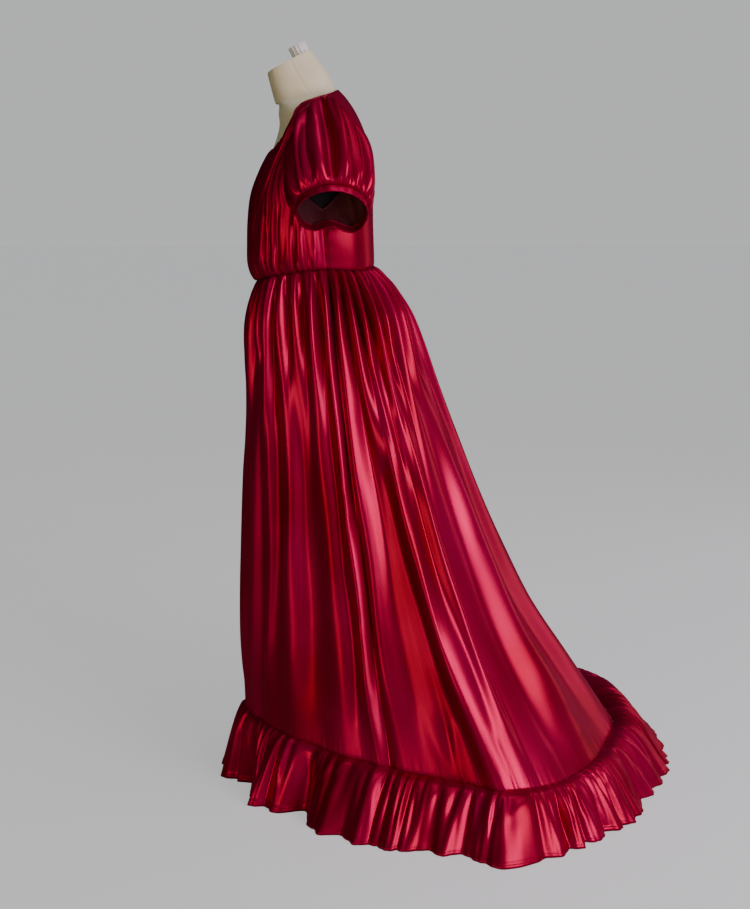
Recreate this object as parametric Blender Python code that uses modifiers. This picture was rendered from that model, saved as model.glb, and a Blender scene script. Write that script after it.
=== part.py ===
"""Regency gown on a limbless dress form.

A high-waisted gown with a gathered front bodice, plain back panels, short puff sleeves on narrow
cuffs, a gathered skirt that runs out into a train, and a gathered ruffle round the whole hem. It is
worn by a smooth dress form on a pole and a round base.

Metres, +Z up. The origin is on the floor under the pole. The gown's front faces -Y, its train runs
out to +Y, and the wearer's left is +X. Angles run round the body from the centre front: 0 is the
centre front, 90 the left side, 180 the centre back, and the right side is negative.
"""
import math

import bmesh
import bpy
import numpy as np

# Driving dimensions
WALL = 0.0016
CUFF_WALL = 0.0018
SEAM_GAP = 0.0003
SKIRT_SEAM_SPACE = 0.0018
RUFFLE_SEAM_SPACE = 0.0010
EDGE_ROOM = 1.2
SIDE_SEAM = 95.0
TRAIN_SWING = 0.0414
TRAIN_LENGTH = 0.615
CUFF_DEPTH = 0.015
HEM_CLEARANCE = 0.0006
POLE_RADIUS = 0.016
POLE_COLLAR_RADIUS = 0.026
POLE_COLLAR_HEIGHT = 0.045
BASE_RADIUS = 0.118
BASE_THICKNESS = 0.014
KNOB_RADIUS = 0.0175
KNOB_HEIGHT = 0.021
KNOB_RIDGES = 14
KNOB_GROOVE = 0.93
KNOB_OFFSET = 0.026

# Torso of the gown: a row for each ring, from the waist up to the neck.
# height, half width, front depth and back depth from the widest line, place of that line,
# ring tilt in degrees, and the room between the cloth and the form inside it.
TORSO_COLUMNS = ("height", "half_width", "front", "back", "widest", "tilt", "room")
TORSO_ROWS = (
    (0.995, 0.129, 0.1140, 0.1050, 0.012, 0, 0.0050),
    (1.030, 0.134, 0.1300, 0.1060, 0.012, 0, 0.0080),
    (1.070, 0.140, 0.1300, 0.1070, 0.010, 0, 0.0080),
    (1.120, 0.145, 0.1265, 0.1070, 0.008, 0, 0.0060),
    (1.165, 0.148, 0.1200, 0.1065, 0.008, 0, 0.0045),
    (1.210, 0.151, 0.1050, 0.1030, 0.010, 0, 0.0035),
    (1.250, 0.154, 0.0890, 0.0950, 0.013, 0, 0.0028),
    (1.288, 0.153, 0.0800, 0.0810, 0.015, 0, 0.0036),
    (1.316, 0.141, 0.0790, 0.0680, 0.013, 2, 0.0038),
    (1.335, 0.114, 0.0740, 0.0560, 0.009, 6, 0.0034),
    (1.345, 0.086, 0.0700, 0.0500, 0.003, 12, 0.0026),
    (1.352, 0.066, 0.0660, 0.0520, -0.006, 18, 0.0012),
)
NECK_ROWS = (
    (1.368, 0.058, 0.0590, 0.0560, -0.019, 24, 0.0012),
    (1.404, 0.051, 0.0500, 0.0500, -0.038, 27, 0.0012),
    (1.411, 0.049, 0.0475, 0.0475, -0.041, 27, 0.0012),
)
# The form below the gown's waist, in the same columns.
HIP_ROWS = (
    (0.740, 0.145, 0.0930, 0.1050, 0.008, 0, 0),
    (0.745, 0.146, 0.0960, 0.1110, 0.008, 0, 0),
    (0.800, 0.150, 0.1000, 0.1180, 0.008, 0, 0),
    (0.860, 0.142, 0.0950, 0.1100, 0.008, 0, 0),
    (0.920, 0.126, 0.0880, 0.0950, 0.008, 0, 0),
)
SQUARENESS = 0.05

# The waist seam's height at each angle.
WAIST_SEAM = (
    (0, 0.9985), (30, 1.005), (60, 1.016), (90, 1.025), (120, 1.0215), (150, 1.024), (180, 1.025),
)
# The neckline as torso rows above the waist at each angle, and the armhole as an oval in the same terms.
FRONT_NECKLINE = ((0, 5.75), (15, 5.8), (28, 5.95), (38, 6.3), (50, 7.1), (70, 8.65), (93, 9.35))
BACK_NECKLINE = ((93, 9.35), (115, 9.6), (150, 10.05), (180, 10.2))
SHOULDER_ANGLE = 93.0
ARMHOLE = {"half_angle": 28.0, "low_row": 3.35, "high_row": 8.6, "roundness": 0.35}
# Where the underarm comes up each panel's side, and how a panel's top is shared by neck and shoulder.
UNDERARM = 0.36
NECKLINE_SHARE = 0.78
SHOULDER_SHARE = 0.28

# The seam between skirt and ruffle: the skirt's angle at the waist, and where that line of cloth ends.
HEM_SEAM = (
    (0, 0.000, -0.1400, 0.143),
    (36, 0.062, -0.1220, 0.138),
    (55, 0.116, -0.0850, 0.131),
    (66, 0.176, -0.0350, 0.125),
    (80, 0.247, 0.0480, 0.116),
    (95, 0.302, 0.1320, 0.110),
    (102, 0.336, 0.1900, 0.106),
    (109, 0.366, 0.2450, 0.102),
    (118, 0.394, 0.2940, 0.100),
    (128, 0.415, 0.3400, 0.100),
    (141, 0.407, 0.4000, 0.100),
    (149, 0.372, 0.4560, 0.098),
    (160, 0.270, 0.5250, 0.094),
    (171, 0.135, 0.5880, 0.090),
    (180, 0.000, 0.6150, 0.088),
)
# How far the skirt stands out from the straight line between waist and hem seam.
SKIRT_PROFILE_COLUMNS = ("fall", "front", "side", "back")
SKIRT_PROFILE = (
    (0.00, 0.0000, 0.0000, 0.0000),
    (0.05, 0.0060, 0.0040, 0.0040),
    (0.10, 0.0110, 0.0070, 0.0080),
    (0.17, 0.0120, 0.0060, 0.0010),
    (0.30, 0.0130, 0.0010, -0.0110),
    (0.45, 0.0150, -0.0070, -0.0290),
    (0.60, 0.0150, -0.0130, -0.0410),
    (0.72, 0.0140, -0.0140, -0.0440),
    (0.84, 0.0100, -0.0100, -0.0280),
    (1.00, 0.0000, 0.0000, 0.0000),
)

# Gathers at the waist, a row for each: the valley that starts it, how far down it reaches as a share
# of the skirt, and its height in millimetres.
GATHER_COLUMNS = ("start", "reach", "height")
LEFT_GATHERS = (
    (0.0, 0.45, 9.0), (11.0, 0.30, 8.0), (20.0, 0.55, 10.0), (30.0, 0.25, 9.0), (42.0, 0.60, 11.0),
    (54.5, 0.40, 10.0), (65.5, 0.50, 11.0), (75.5, 0.30, 11.0), (86.0, 0.80, 13.0), (95.0, 0.75, 14.0),
    (103.0, 0.60, 14.5), (111.0, 0.22, 13.0), (119.0, 0.70, 15.0), (128.0, 0.20, 13.0),
    (137.0, 0.60, 15.0), (147.5, 0.35, 14.0), (158.5, 0.55, 14.0), (169.5, 0.35, 12.0),
)
RIGHT_GATHERS = (
    (0.0, 0.35, 8.5), (9.5, 0.55, 9.0), (19.5, 0.28, 9.5), (31.0, 0.50, 11.0), (41.0, 0.30, 10.0),
    (52.0, 0.60, 11.0), (64.0, 0.35, 11.0), (76.0, 0.55, 11.0), (85.5, 0.75, 13.0), (95.0, 0.70, 14.0),
    (104.0, 0.30, 13.0), (113.0, 0.65, 14.5), (121.5, 0.25, 13.0), (129.5, 0.70, 15.0),
    (139.5, 0.30, 13.0), (149.0, 0.60, 15.0), (160.0, 0.30, 13.0), (171.0, 0.45, 11.0),
)
# Height of the gathers down the skirt, as a share of each one's own height.
GATHER_RISE = ((0.0, 0.22), (0.02, 0.62), (0.06, 1.0), (0.16, 1.0), (0.35, 0.75), (0.6, 0.5), (1.0, 0.3))

# The broad folds below the gathers, a row for each: angle at the waist and at the hem, half width at
# the top and at the hem in degrees, height at the top and at the hem in millimetres, where it starts
# and is full as shares of the fall, and how far its crest leans towards the back.
FOLD_COLUMNS = ("top", "hem", "wide_top", "wide_hem", "high_top", "high_hem", "starts", "full", "lean")
LEFT_FOLDS = (
    (14, 16, 12, 14, 5, 8, 0.10, 0.4, 0.0),
    (33, 36, 9, 11, 4, 8, 0.10, 0.4, 0.1),
    (50, 53, 8, 9, 7, 16, 0.10, 0.4, 0.2),
    (65, 63, 7, 9, 8, 22, 0.10, 0.4, 0.2),
    (81, 79, 6, 7, 6, 11, 0.10, 0.5, 0.2),
    (89, 90.5, 5, 5, 11, 21, 0.05, 0.4, 0.4),
    (98, 99.5, 5, 5, 11, 18, 0.05, 0.4, -0.3),
    (107, 127, 8, 11, 14, 44, 0.08, 0.5, -0.2),
    (125, 135, 6, 7, 12, 20, 0.10, 0.5, 0.1),
    (156, 159, 9, 10, 14, 42, 0.10, 0.5, -0.25),
    (173.5, 173.5, 6.5, 6.5, 10, 14, 0.06, 0.4, 0.0),
)
RIGHT_FOLDS = (
    (20, 20, 12, 14, 5, 9, 0.10, 0.4, 0.1),
    (44, 43, 9, 11, 6, 13, 0.10, 0.4, 0.2),
    (66, 68, 8, 10, 8, 20, 0.10, 0.4, 0.2),
    (89, 90.5, 6, 6, 11, 20, 0.05, 0.4, 0.3),
    (98, 100, 6, 6, 11, 17, 0.05, 0.4, -0.3),
    (112, 120, 8, 10, 13, 38, 0.08, 0.5, -0.2),
    (128, 136, 7, 8, 11, 16, 0.10, 0.5, 0.1),
    (148, 151, 9, 9, 13, 36, 0.10, 0.5, -0.2),
    (166, 168, 8, 9, 11, 18, 0.10, 0.5, 0.1),
)

# The ruffle: gathers round the seam, which merge in pairs into waves at the lower edge.
RUFFLE_GATHERS = 96
RUFFLE_GATHER_HEIGHT = 0.0045
RUFFLE_WAVE_HEIGHT = 0.0130
GATHERS_EVEN_AT = 0.9
# How far the ruffle stands out at its lower edge, and how high its belly rises, by angle.
RUFFLE_COLUMNS = ("angle", "flare", "belly")
RUFFLE_ROWS = (
    (-180, 0.122, 0.038),
    (-170, 0.158, 0.048),
    (-160, 0.152, 0.042),
    (-148, 0.114, 0.022),
    (-130, 0.082, 0.010),
    (-95, 0.078, 0.008),
    (-70, 0.066, 0.008),
    (-40, 0.052, 0.008),
    (0, 0.044, 0.008),
    (40, 0.050, 0.008),
    (60, 0.056, 0.008),
    (80, 0.072, 0.008),
    (95, 0.094, 0.008),
    (112, 0.078, 0.008),
    (130, 0.077, 0.008),
    (147, 0.064, 0.010),
    (160, 0.076, 0.014),
    (170, 0.098, 0.026),
    (180, 0.122, 0.038),
)
# Deep folds in the ruffle, a row for each: angle, half width in degrees, height in millimetres.
RUFFLE_FOLDS = (
    (4, 12, 8), (26, 8, -12), (42, 15, -50), (60, 5, 18), (71, 5, -28), (80, 6, 24), (90, 5, 20),
    (100, 6, 10), (110, 5, 10), (127, 6, 12), (158, 6, 8), (-14, 9, 8), (-32, 9, -26), (-46, 7, 10),
    (-61, 6, -24), (-74, 7, 16), (-92, 6, 10), (-108, 6, 12), (-126, 7, 14), (-143, 6, 12), (-163, 6, 10),
)

# Bodice front: gathers from side seam to side seam, and their height in millimetres up the panel.
BODICE_GATHERS = 18
BODICE_GATHER_RISE = (
    (0.0, 1.2), (0.05, 5.5), (0.14, 5.5), (0.45, 4.2), (0.8, 3.4), (0.96, 2.2), (1.0, 1.0),
)

# Puff sleeve. The cuff's ring is a flattened oval with a dent under the arm and a low back lobe.
CUFF_CENTRE = (0.209, 0.0295, 1.139)
CUFF_HALF_LENGTH = 0.0630
CUFF_HALF_HEIGHT = 0.0570
CUFF_TILT = 44.0
CUFF_DENT = 0.42
CUFF_DENT_WIDTH = 26.0
CUFF_LOBE = 0.007
CUFF_LOBE_TURN = -50.0
CUFF_LOBE_WIDTH = 34.0
# Gathers round the sleeve, a row for each: the turn of the valley that starts it, from under the arm
# over the front, and its height in millimetres.
SLEEVE_COLUMNS = ("start", "height")
SLEEVE_GATHERS = (
    (0, 4), (35, 5), (68, 7), (95, 9), (121, 12), (149, 16), (182, 17), (213, 15), (232, 13), (253, 11),
    (274, 9), (296, 7), (318, 5), (340, 4),
)
SLEEVE_PUFF = 0.028
SLEEVE_UNDER_PUFF = 0.010

# Where each piece's rows of faces lie, as shares of its length.
SKIRT_FALLS = (0.0016, 0.025, 0.08, 0.18, 0.34, 0.54, 0.77, 0.9978)
RUFFLE_DROPS = (0.009, 0.16, 0.5, 1.0)
BODICE_RISES = (0.009, 0.05, 0.14, 0.36, 0.48, 0.63, 0.76, 0.86, 0.94, 0.998)
SLEEVE_LENGTHS = (0.0, 0.12, 0.32, 0.55, 0.78, 0.93, 1.0)
FORM_LEVELS = (
    -5, -4, -3, -2, -1, 0, 1, 2, 3, 4, 5, 6, 7, 8, 8.5, 9, 9.5, 10, 10.5, 11, 12, 13, 14,
)
# Columns of faces: round the form, across each bodice panel, round a cuff, and on each gather.
FORM_COLUMNS = 28
FRONT_COLUMNS = 54
BACK_COLUMNS = 10
CUFF_COLUMNS = 30
SKIRT_GATHER_COLUMNS = 4
RUFFLE_GATHER_COLUMNS = 3
SLEEVE_GATHER_COLUMNS = 3
STAND_SIDES = 36
# How far across its half of the bodice a panel starts and ends.
FRONT_REACH = 0.9975
BACK_REACH = (0.005, 0.9985)

RED_SATIN = (0.30, 0.008, 0.030)
FORM_CLOTH = (0.72, 0.62, 0.47)
WHITE_PLASTIC = (0.85, 0.84, 0.82)
DARK_METAL = (0.06, 0.06, 0.065)


# Curves and tables
def column(rows, names, name):
    """One named column of a table."""
    return np.array([row[names.index(name)] for row in rows], float)


def smooth_curve(x, points_x, points_y, even=False):
    """A smooth curve through points. An even one is level at both ends, for half of a body."""
    px = np.asarray(points_x, float)
    py = np.asarray(points_y, float)
    before = py[1] if even else 2 * py[0] - py[1]
    after = py[-2] if even else 2 * py[-1] - py[-2]
    gx = np.concatenate([[2 * px[0] - px[1]], px, [2 * px[-1] - px[-2]]])
    gy = np.concatenate([[before], py, [after]])
    slopes = (gy[2:] - gy[:-2]) / (gx[2:] - gx[:-2])
    x = np.asarray(x, float)
    i = np.clip(np.searchsorted(px, x, side="right") - 1, 0, len(px) - 2)
    width = px[i + 1] - px[i]
    f = (x - px[i]) / width
    return (
        py[i] * (1 + 2 * f) * (1 - f) ** 2
        + slopes[i] * width * f * (1 - f) ** 2
        + py[i + 1] * f**2 * (3 - 2 * f)
        + slopes[i + 1] * width * f**2 * (f - 1)
    )


def pairs(x, table, even=False):
    """A smooth curve through a table of two columns."""
    return smooth_curve(x, [row[0] for row in table], [row[1] for row in table], even)


def ramp(x, low, high):
    """Eases from 0 at low to 1 at high."""
    f = np.clip((np.asarray(x, float) - low) / (high - low), 0, 1)
    return f * f * (3 - 2 * f)


def pipe(f):
    """Round gathers with narrow valleys at whole numbers, 0 to 1."""
    return (np.sqrt(np.sin(np.pi * f) ** 2 + 0.05) - 0.2236) / 0.801


def hump(x, lean=0.0):
    """One fold, 1 at its crest and 0 from one half width away. Lean moves the crest to one side."""
    shifted = np.clip((x - lean * (1 - np.clip(np.abs(x), 0, 1))), -1, 1)
    return 0.5 + 0.5 * np.cos(np.pi * shifted)


def stack(x, y, z):
    return np.stack(np.broadcast_arrays(x, y, z), axis=-1)


def normals_of(surface, a, b, step_a, step_b):
    """Unit normals of a surface function, from two small steps along it."""
    across = surface(a + step_a, b) - surface(a - step_a, b)
    along = surface(a, b + step_b) - surface(a, b - step_b)
    normal = np.cross(across, along)
    return normal / np.linalg.norm(normal, axis=-1, keepdims=True)


# Torso
def torso_ring(rows, angle, row):
    """A point on a torso of rings, at an angle round it and a row number up it."""
    index = np.arange(len(rows))
    at = {name: smooth_curve(row, index, column(rows, TORSO_COLUMNS, name)) for name in TORSO_COLUMNS}
    turn = np.radians(angle)
    sideways = (np.sin(turn) + SQUARENESS * np.sin(3 * turn)) / (1 - SQUARENESS)
    forwards = (np.cos(turn) - SQUARENESS * np.cos(3 * turn)) / (1 - SQUARENESS)
    depth = np.where(forwards > 0, at["front"], at["back"]) * -forwards
    tilt = np.radians(at["tilt"])
    return stack(
        at["half_width"] * sideways,
        at["widest"] + depth * np.cos(tilt),
        at["height"] + depth * np.sin(tilt),
    )


GOWN_ROWS = TORSO_ROWS + NECK_ROWS


def torso(angle, row):
    return torso_ring(GOWN_ROWS, angle, row)


def torso_out(angle, row):
    """Outward normals of the torso."""
    return normals_of(torso, np.asarray(angle, float), np.asarray(row, float), 0.5, 0.02)


def waist_row(angle):
    height = pairs(np.abs(angle), WAIST_SEAM, even=True)
    return (height - TORSO_ROWS[0][0]) / (TORSO_ROWS[1][0] - TORSO_ROWS[0][0])


def armhole(turn):
    """Angle and row of the armhole's edge, a pointed oval. Turn is 0 under the arm, 180 at the
    shoulder, and less than 180 in front."""
    t = np.radians(turn)
    straight = 1 - np.abs(1 - np.asarray(turn, float) / 180)
    up = straight * (1 - ARMHOLE["roundness"]) + (0.5 - 0.5 * np.cos(t)) * ARMHOLE["roundness"]
    row = ARMHOLE["low_row"] + (ARMHOLE["high_row"] - ARMHOLE["low_row"]) * up
    return SHOULDER_ANGLE - ARMHOLE["half_angle"] * np.sin(t), row


# Skirt and ruffle
def hem_seam(angle):
    """Where each line of skirt cloth ends, without its folds."""
    angle = (np.asarray(angle, float) + 180) % 360 - 180
    side = np.abs(angle)
    angles = [row[0] for row in HEM_SEAM]
    x = smooth_curve(side, angles, [row[1] for row in HEM_SEAM]) * np.sign(angle)
    y = smooth_curve(side, angles, [row[2] for row in HEM_SEAM], even=True)
    z = smooth_curve(side, angles, [row[3] for row in HEM_SEAM], even=True)
    swing = TRAIN_SWING * (np.clip(y, 0, None) / TRAIN_LENGTH) ** 1.5
    return stack(x - swing, y, z)


def skirt_base(angle, fall):
    """The skirt without its folds. Fall is 0 at the waist seam and 1 at the hem seam."""
    angle, fall = np.broadcast_arrays(np.asarray(angle, float), np.asarray(fall, float))
    top = torso(angle, waist_row(angle))
    low = hem_seam(angle)
    toward = (low - top)[..., :2]
    flat = np.stack([np.sin(np.radians(angle)), -np.cos(np.radians(angle))], axis=-1)
    side = np.abs(angle)
    falls = column(SKIRT_PROFILE, SKIRT_PROFILE_COLUMNS, "fall")
    stand = {
        name: smooth_curve(fall, falls, column(SKIRT_PROFILE, SKIRT_PROFILE_COLUMNS, name))
        for name in ("front", "side", "back")
    }
    to_side = ramp(side, 15, 80)
    to_back = ramp(side, 105, 165)
    out = stand["front"] * (1 - to_side) + stand["side"] * to_side * (1 - to_back) + stand["back"] * to_back
    xy = top[..., :2] + toward * fall[..., None] + flat * out[..., None]
    z = top[..., 2] + (low - top)[..., 2] * fall
    return stack(xy[..., 0], xy[..., 1], z)


def gather_height(angle, fall):
    """Height of the small gathers that hang from the waist seam."""
    total = np.zeros(np.broadcast(angle, fall).shape)
    for sign, table in ((1, LEFT_GATHERS), (-1, RIGHT_GATHERS)):
        starts = column(table, GATHER_COLUMNS, "start")
        ends = np.append(starts[1:], 180.0)
        side = np.clip(np.asarray(angle, float) * sign, 0, 180)
        i = np.clip(np.searchsorted(starts, side, side="right") - 1, 0, len(starts) - 1)
        share = (side - starts[i]) / (ends[i] - starts[i])
        reach = column(table, GATHER_COLUMNS, "reach")[i]
        high = column(table, GATHER_COLUMNS, "height")[i] / 1000
        here = np.where(np.asarray(angle, float) * sign >= 0, 1.0, 0.0)
        fade = 1 - ramp(fall, 0.45 * reach, reach)
        total = total + here * high * pipe(share) * fade * pairs(fall, GATHER_RISE)
    return total


def fold_height(angle, fall):
    """Height of the broad folds that run to the hem."""
    total = np.zeros(np.broadcast(angle, fall).shape)
    for sign, table in ((1, LEFT_FOLDS), (-1, RIGHT_FOLDS)):
        for row in table:
            fold = dict(zip(FOLD_COLUMNS, row))
            centre = fold["top"] + (fold["hem"] - fold["top"]) * fall
            wide = fold["wide_top"] + (fold["wide_hem"] - fold["wide_top"]) * fall
            high = fold["high_top"] + (fold["high_hem"] - fold["high_top"]) * fall
            away = (np.asarray(angle, float) * sign - centre) / wide
            rise = ramp(fall, fold["starts"], fold["full"]) * (1 - 0.62 * ramp(fall, 0.8, 1.0))
            total = total + high / 1000 * hump(away, fold["lean"]) * rise * (np.abs(away) < 1)
    return total


def skirt(angle, fall):
    angle, fall = np.broadcast_arrays(np.asarray(angle, float), np.asarray(fall, float))
    inside = np.clip(fall, 0.004, 0.996)
    out = -normals_of(skirt_base, angle, inside, 0.8, 0.004)
    lift = gather_height(angle, fall) + fold_height(angle, fall)
    return skirt_base(angle, fall) + out * lift[..., None]


def ruffle_out(angle):
    """Unit direction out from the hem seam, level with the floor."""
    along = hem_seam(angle + 1.5) - hem_seam(angle - 1.5)
    out = np.stack([along[..., 1], -along[..., 0], np.zeros_like(along[..., 0])], axis=-1)
    return out / np.linalg.norm(out, axis=-1, keepdims=True)


def ruffle_flare(angle):
    """How far the ruffle stands out at its lower edge."""
    angles = column(RUFFLE_ROWS, RUFFLE_COLUMNS, "angle")
    return smooth_curve(angle, angles, column(RUFFLE_ROWS, RUFFLE_COLUMNS, "flare"))


def hem_lengths():
    """Angles round the hem and the length along the ruffle from the centre back on the right. It is
    measured partway out to the lower edge, so that the gathers stay even round the hem's corners."""
    angles = np.linspace(-180, 180, 721)
    out = ruffle_out(angles)
    points = hem_seam(angles) + out * (GATHERS_EVEN_AT * ruffle_flare(angles))[:, None]
    steps = np.linalg.norm(np.diff(points, axis=0), axis=1)
    return angles, np.concatenate([[0], np.cumsum(steps)])


HEM_ANGLES, HEM_LENGTHS = hem_lengths()


def uneven_count(share):
    """How far the ruffle's gathers stray from an even count, as hand gathering does."""
    turn = 2 * np.pi * np.asarray(share, float)
    return 0.6 * np.sin(7 * turn + 0.8) + 0.28 * np.sin(17 * turn + 2.1) + 0.08 * np.sin(31 * turn + 4.0)


def gather_phase(angle):
    """Count of the ruffle's gathers from the centre back."""
    share = np.interp(angle, HEM_ANGLES, HEM_LENGTHS) / HEM_LENGTHS[-1]
    return RUFFLE_GATHERS * share + uneven_count(share) - uneven_count(0.0)


def ruffle(angle, drop):
    """The ruffle. Drop is 0 at the hem seam and 1 at its lower edge on the floor."""
    angle, drop = np.broadcast_arrays(np.asarray(angle, float), np.asarray(drop, float))
    seam = skirt(angle, np.ones_like(angle))
    out = ruffle_out(angle)
    angles = column(RUFFLE_ROWS, RUFFLE_COLUMNS, "angle")
    flare = ruffle_flare(angle)
    belly = smooth_curve(angle, angles, column(RUFFLE_ROWS, RUFFLE_COLUMNS, "belly"))
    phase = gather_phase(angle)
    turn = np.radians(angle)
    uneven = 1 + 0.3 * np.sin(5 * turn + 1.0) + 0.3 * np.sin(13 * turn + 0.4)
    waves = (pipe(phase / 2) - 0.6) * RUFFLE_WAVE_HEIGHT * uneven * ramp(drop, 0.0, 0.9)
    gathers_fade = ramp(drop, -0.15, 0.2) * (1 - ramp(drop, 0.3, 0.9))
    gathers = (pipe(phase) - 0.6) * RUFFLE_GATHER_HEIGHT * gathers_fade
    deep = np.zeros_like(angle)
    for centre, wide, high in RUFFLE_FOLDS:
        deep = deep + high / 1000 * hump((angle - centre) / wide) * (np.abs(angle - centre) < wide)
    spread = drop**0.72 * ramp(drop, -0.04, 0.08)
    level = flare * spread + deep * drop**1.2 + (waves + gathers) * 0.85
    lift = belly * np.sin(np.pi * drop**0.7) + (waves + gathers) * 0.5 * (1 - drop)
    z = (seam[..., 2] + lift) * (1 - drop) + HEM_CLEARANCE * drop
    return stack(seam[..., 0] + out[..., 0] * level, seam[..., 1] + out[..., 1] * level, z)


# Bodice
def panel_side(rise, back):
    """Up the side seam, then round the front or the back of the armhole."""
    up_seam = np.clip(rise / UNDERARM, 0, 1)
    turn = 180 * np.clip((rise - UNDERARM) / (1 - UNDERARM), 0, 1)
    hole_angle, hole_row = armhole(360 - turn if back else turn)
    start = waist_row(SIDE_SEAM)
    on_seam = rise < UNDERARM
    angle = np.where(on_seam, SIDE_SEAM + (SHOULDER_ANGLE - SIDE_SEAM) * up_seam, hole_angle)
    return angle, np.where(on_seam, start + (ARMHOLE["low_row"] - start) * up_seam, hole_row)


def panel_row(low_row, high_row, side_row, corner_rows, rise, near_side):
    """Rows of a panel: from its lower to its upper edge, eased to fit the side seam and the armhole."""
    straight = corner_rows[0] * (1 - rise) + corner_rows[1] * rise
    return low_row * (1 - rise) + high_row * rise + near_side**2 * (side_row - straight)


def front_panel(across, rise):
    """The bodice front. Across runs from -1 at the right side seam to 1 at the left one."""
    across, rise = np.broadcast_arrays(np.asarray(across, float), np.asarray(rise, float))
    side = np.abs(across)
    side_angle, side_row = panel_side(rise, back=False)
    along_neck = np.clip(side / NECKLINE_SHARE, 0, 1)
    down_shoulder = np.clip((side - NECKLINE_SHARE) / (1 - NECKLINE_SHARE), 0, 1)
    shoulder_row = FRONT_NECKLINE[-1][1] + (ARMHOLE["high_row"] - FRONT_NECKLINE[-1][1]) * down_shoulder
    neck_row = pairs(SHOULDER_ANGLE * along_neck, FRONT_NECKLINE)
    high_row = np.where(side < NECKLINE_SHARE, neck_row, shoulder_row)
    spread = rise**3
    edge_angle = SHOULDER_ANGLE + (side_angle - SHOULDER_ANGLE) * ramp(side, 0.3, 0.9)
    angle = edge_angle * (side * (1 - spread) + along_neck * spread)
    corners = (waist_row(SIDE_SEAM), ARMHOLE["high_row"])
    row = panel_row(waist_row(SIDE_SEAM * side), high_row, side_row, corners, rise, side)
    angle = angle * np.sign(across)
    phase = (across + 1) / 2 * BODICE_GATHERS + 0.25 * np.sin(9 * across + 1) + 0.2 * np.sin(23 * across)
    smooth_below = ramp(side, 0.88, 0.97)
    smooth_above = ramp(side, 0.48, 0.66) * ramp(rise, 0.12, 0.40)
    high = pairs(rise, BODICE_GATHER_RISE) / 1000 * (1 - np.maximum(smooth_below, smooth_above))
    return torso(angle, row) + torso_out(angle, row) * (pipe(phase) * high)[..., None]


def back_panel(across, rise):
    """A plain back half. Across is 0 at the side seam and 1 at the centre back."""
    across, rise = np.broadcast_arrays(np.asarray(across, float), np.asarray(rise, float))
    side_angle, side_row = panel_side(rise, back=True)
    up_shoulder = np.clip(across / SHOULDER_SHARE, 0, 1)
    along_neck = np.clip((across - SHOULDER_SHARE) / (1 - SHOULDER_SHARE), 0, 1)
    neck_row = pairs(SHOULDER_ANGLE + (180 - SHOULDER_ANGLE) * along_neck, BACK_NECKLINE)
    shoulder_row = ARMHOLE["high_row"] + (BACK_NECKLINE[0][1] - ARMHOLE["high_row"]) * up_shoulder
    high_row = np.where(across < SHOULDER_SHARE, shoulder_row, neck_row)
    spread = rise**3
    angle = side_angle + (180 - side_angle) * (across * (1 - spread) + along_neck * spread)
    corners = (waist_row(SIDE_SEAM), ARMHOLE["high_row"])
    low_row = waist_row(SIDE_SEAM + (180 - SIDE_SEAM) * across)
    row = panel_row(low_row, high_row, side_row, corners, rise, 1 - across)
    return torso(angle, row)


# Sleeves
def cuff_ring(turn, along):
    """A point of the cuff's ring. Turn is 0 under the arm and 180 on top, along is metres past it."""
    t = np.radians(turn)
    tilt = math.radians(CUFF_TILT)
    up = np.array([math.cos(tilt), 0, math.sin(tilt)])
    out = np.array([math.sin(tilt), 0, -math.cos(tilt)])
    away = (np.asarray(turn, float) + 180) % 360 - 180
    dent = 1 - CUFF_DENT * np.exp(-((away / CUFF_DENT_WIDTH) ** 2))
    lobe = CUFF_LOBE * np.exp(-(((away - CUFF_LOBE_TURN) / CUFF_LOBE_WIDTH) ** 2))
    high = -np.cos(t) * CUFF_HALF_HEIGHT * dent - lobe
    back = -np.sin(t) * CUFF_HALF_LENGTH
    centre = np.array(CUFF_CENTRE)
    return (
        centre
        + up * high[..., None]
        + np.array([0, 1, 0]) * back[..., None]
        + out * np.asarray(along, float)[..., None]
    )


def sleeve(turn, length):
    """The puff sleeve on the left. Length is 0 at the armhole and 1 at the cuff."""
    turn, length = np.broadcast_arrays(np.asarray(turn, float), np.asarray(length, float))
    angle, row = armhole(turn)
    start = torso(angle, row) + torso_out(angle, row) * (WALL + SEAM_GAP + 0.0002)
    end = cuff_ring(turn, np.full(turn.shape, -SEAM_GAP))
    share = ramp(length, -0.35, 1.12)
    share = (share - ramp(0.0, -0.35, 1.12)) / (ramp(1.0, -0.35, 1.12) - ramp(0.0, -0.35, 1.12))
    middle_start = torso(SHOULDER_ANGLE, (ARMHOLE["low_row"] + ARMHOLE["high_row"]) / 2)
    axis_point = middle_start + (np.array(CUFF_CENTRE) - middle_start) * share[..., None]
    line = start + (end - start) * share[..., None]
    away = line - axis_point
    away = away / np.linalg.norm(away, axis=-1, keepdims=True)
    top = 0.5 - 0.5 * np.cos(np.radians(turn))
    puff = SLEEVE_UNDER_PUFF + (SLEEVE_PUFF - SLEEVE_UNDER_PUFF) * top
    swell = np.sin(np.pi * np.clip(length, 0, 1) ** 0.85) ** 0.75
    lift_out = np.array([0.45, 0, 0.55]) * (top * 0.014 * swell)[..., None]
    starts = np.append(column(SLEEVE_GATHERS, SLEEVE_COLUMNS, "start"), 360.0)
    i = np.clip(np.searchsorted(starts, turn, side="right") - 1, 0, len(SLEEVE_GATHERS) - 1)
    high = column(SLEEVE_GATHERS, SLEEVE_COLUMNS, "height")[i] / 1000
    ridge = (pipe((turn - starts[i]) / (starts[i + 1] - starts[i])) - 0.65) * high
    rise = 0.12 + 0.88 * ramp(length, 0, 0.3) * (1 - ramp(length, 0.75, 1.0))
    return line + away * (puff * swell + ridge * rise)[..., None] + lift_out


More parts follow.
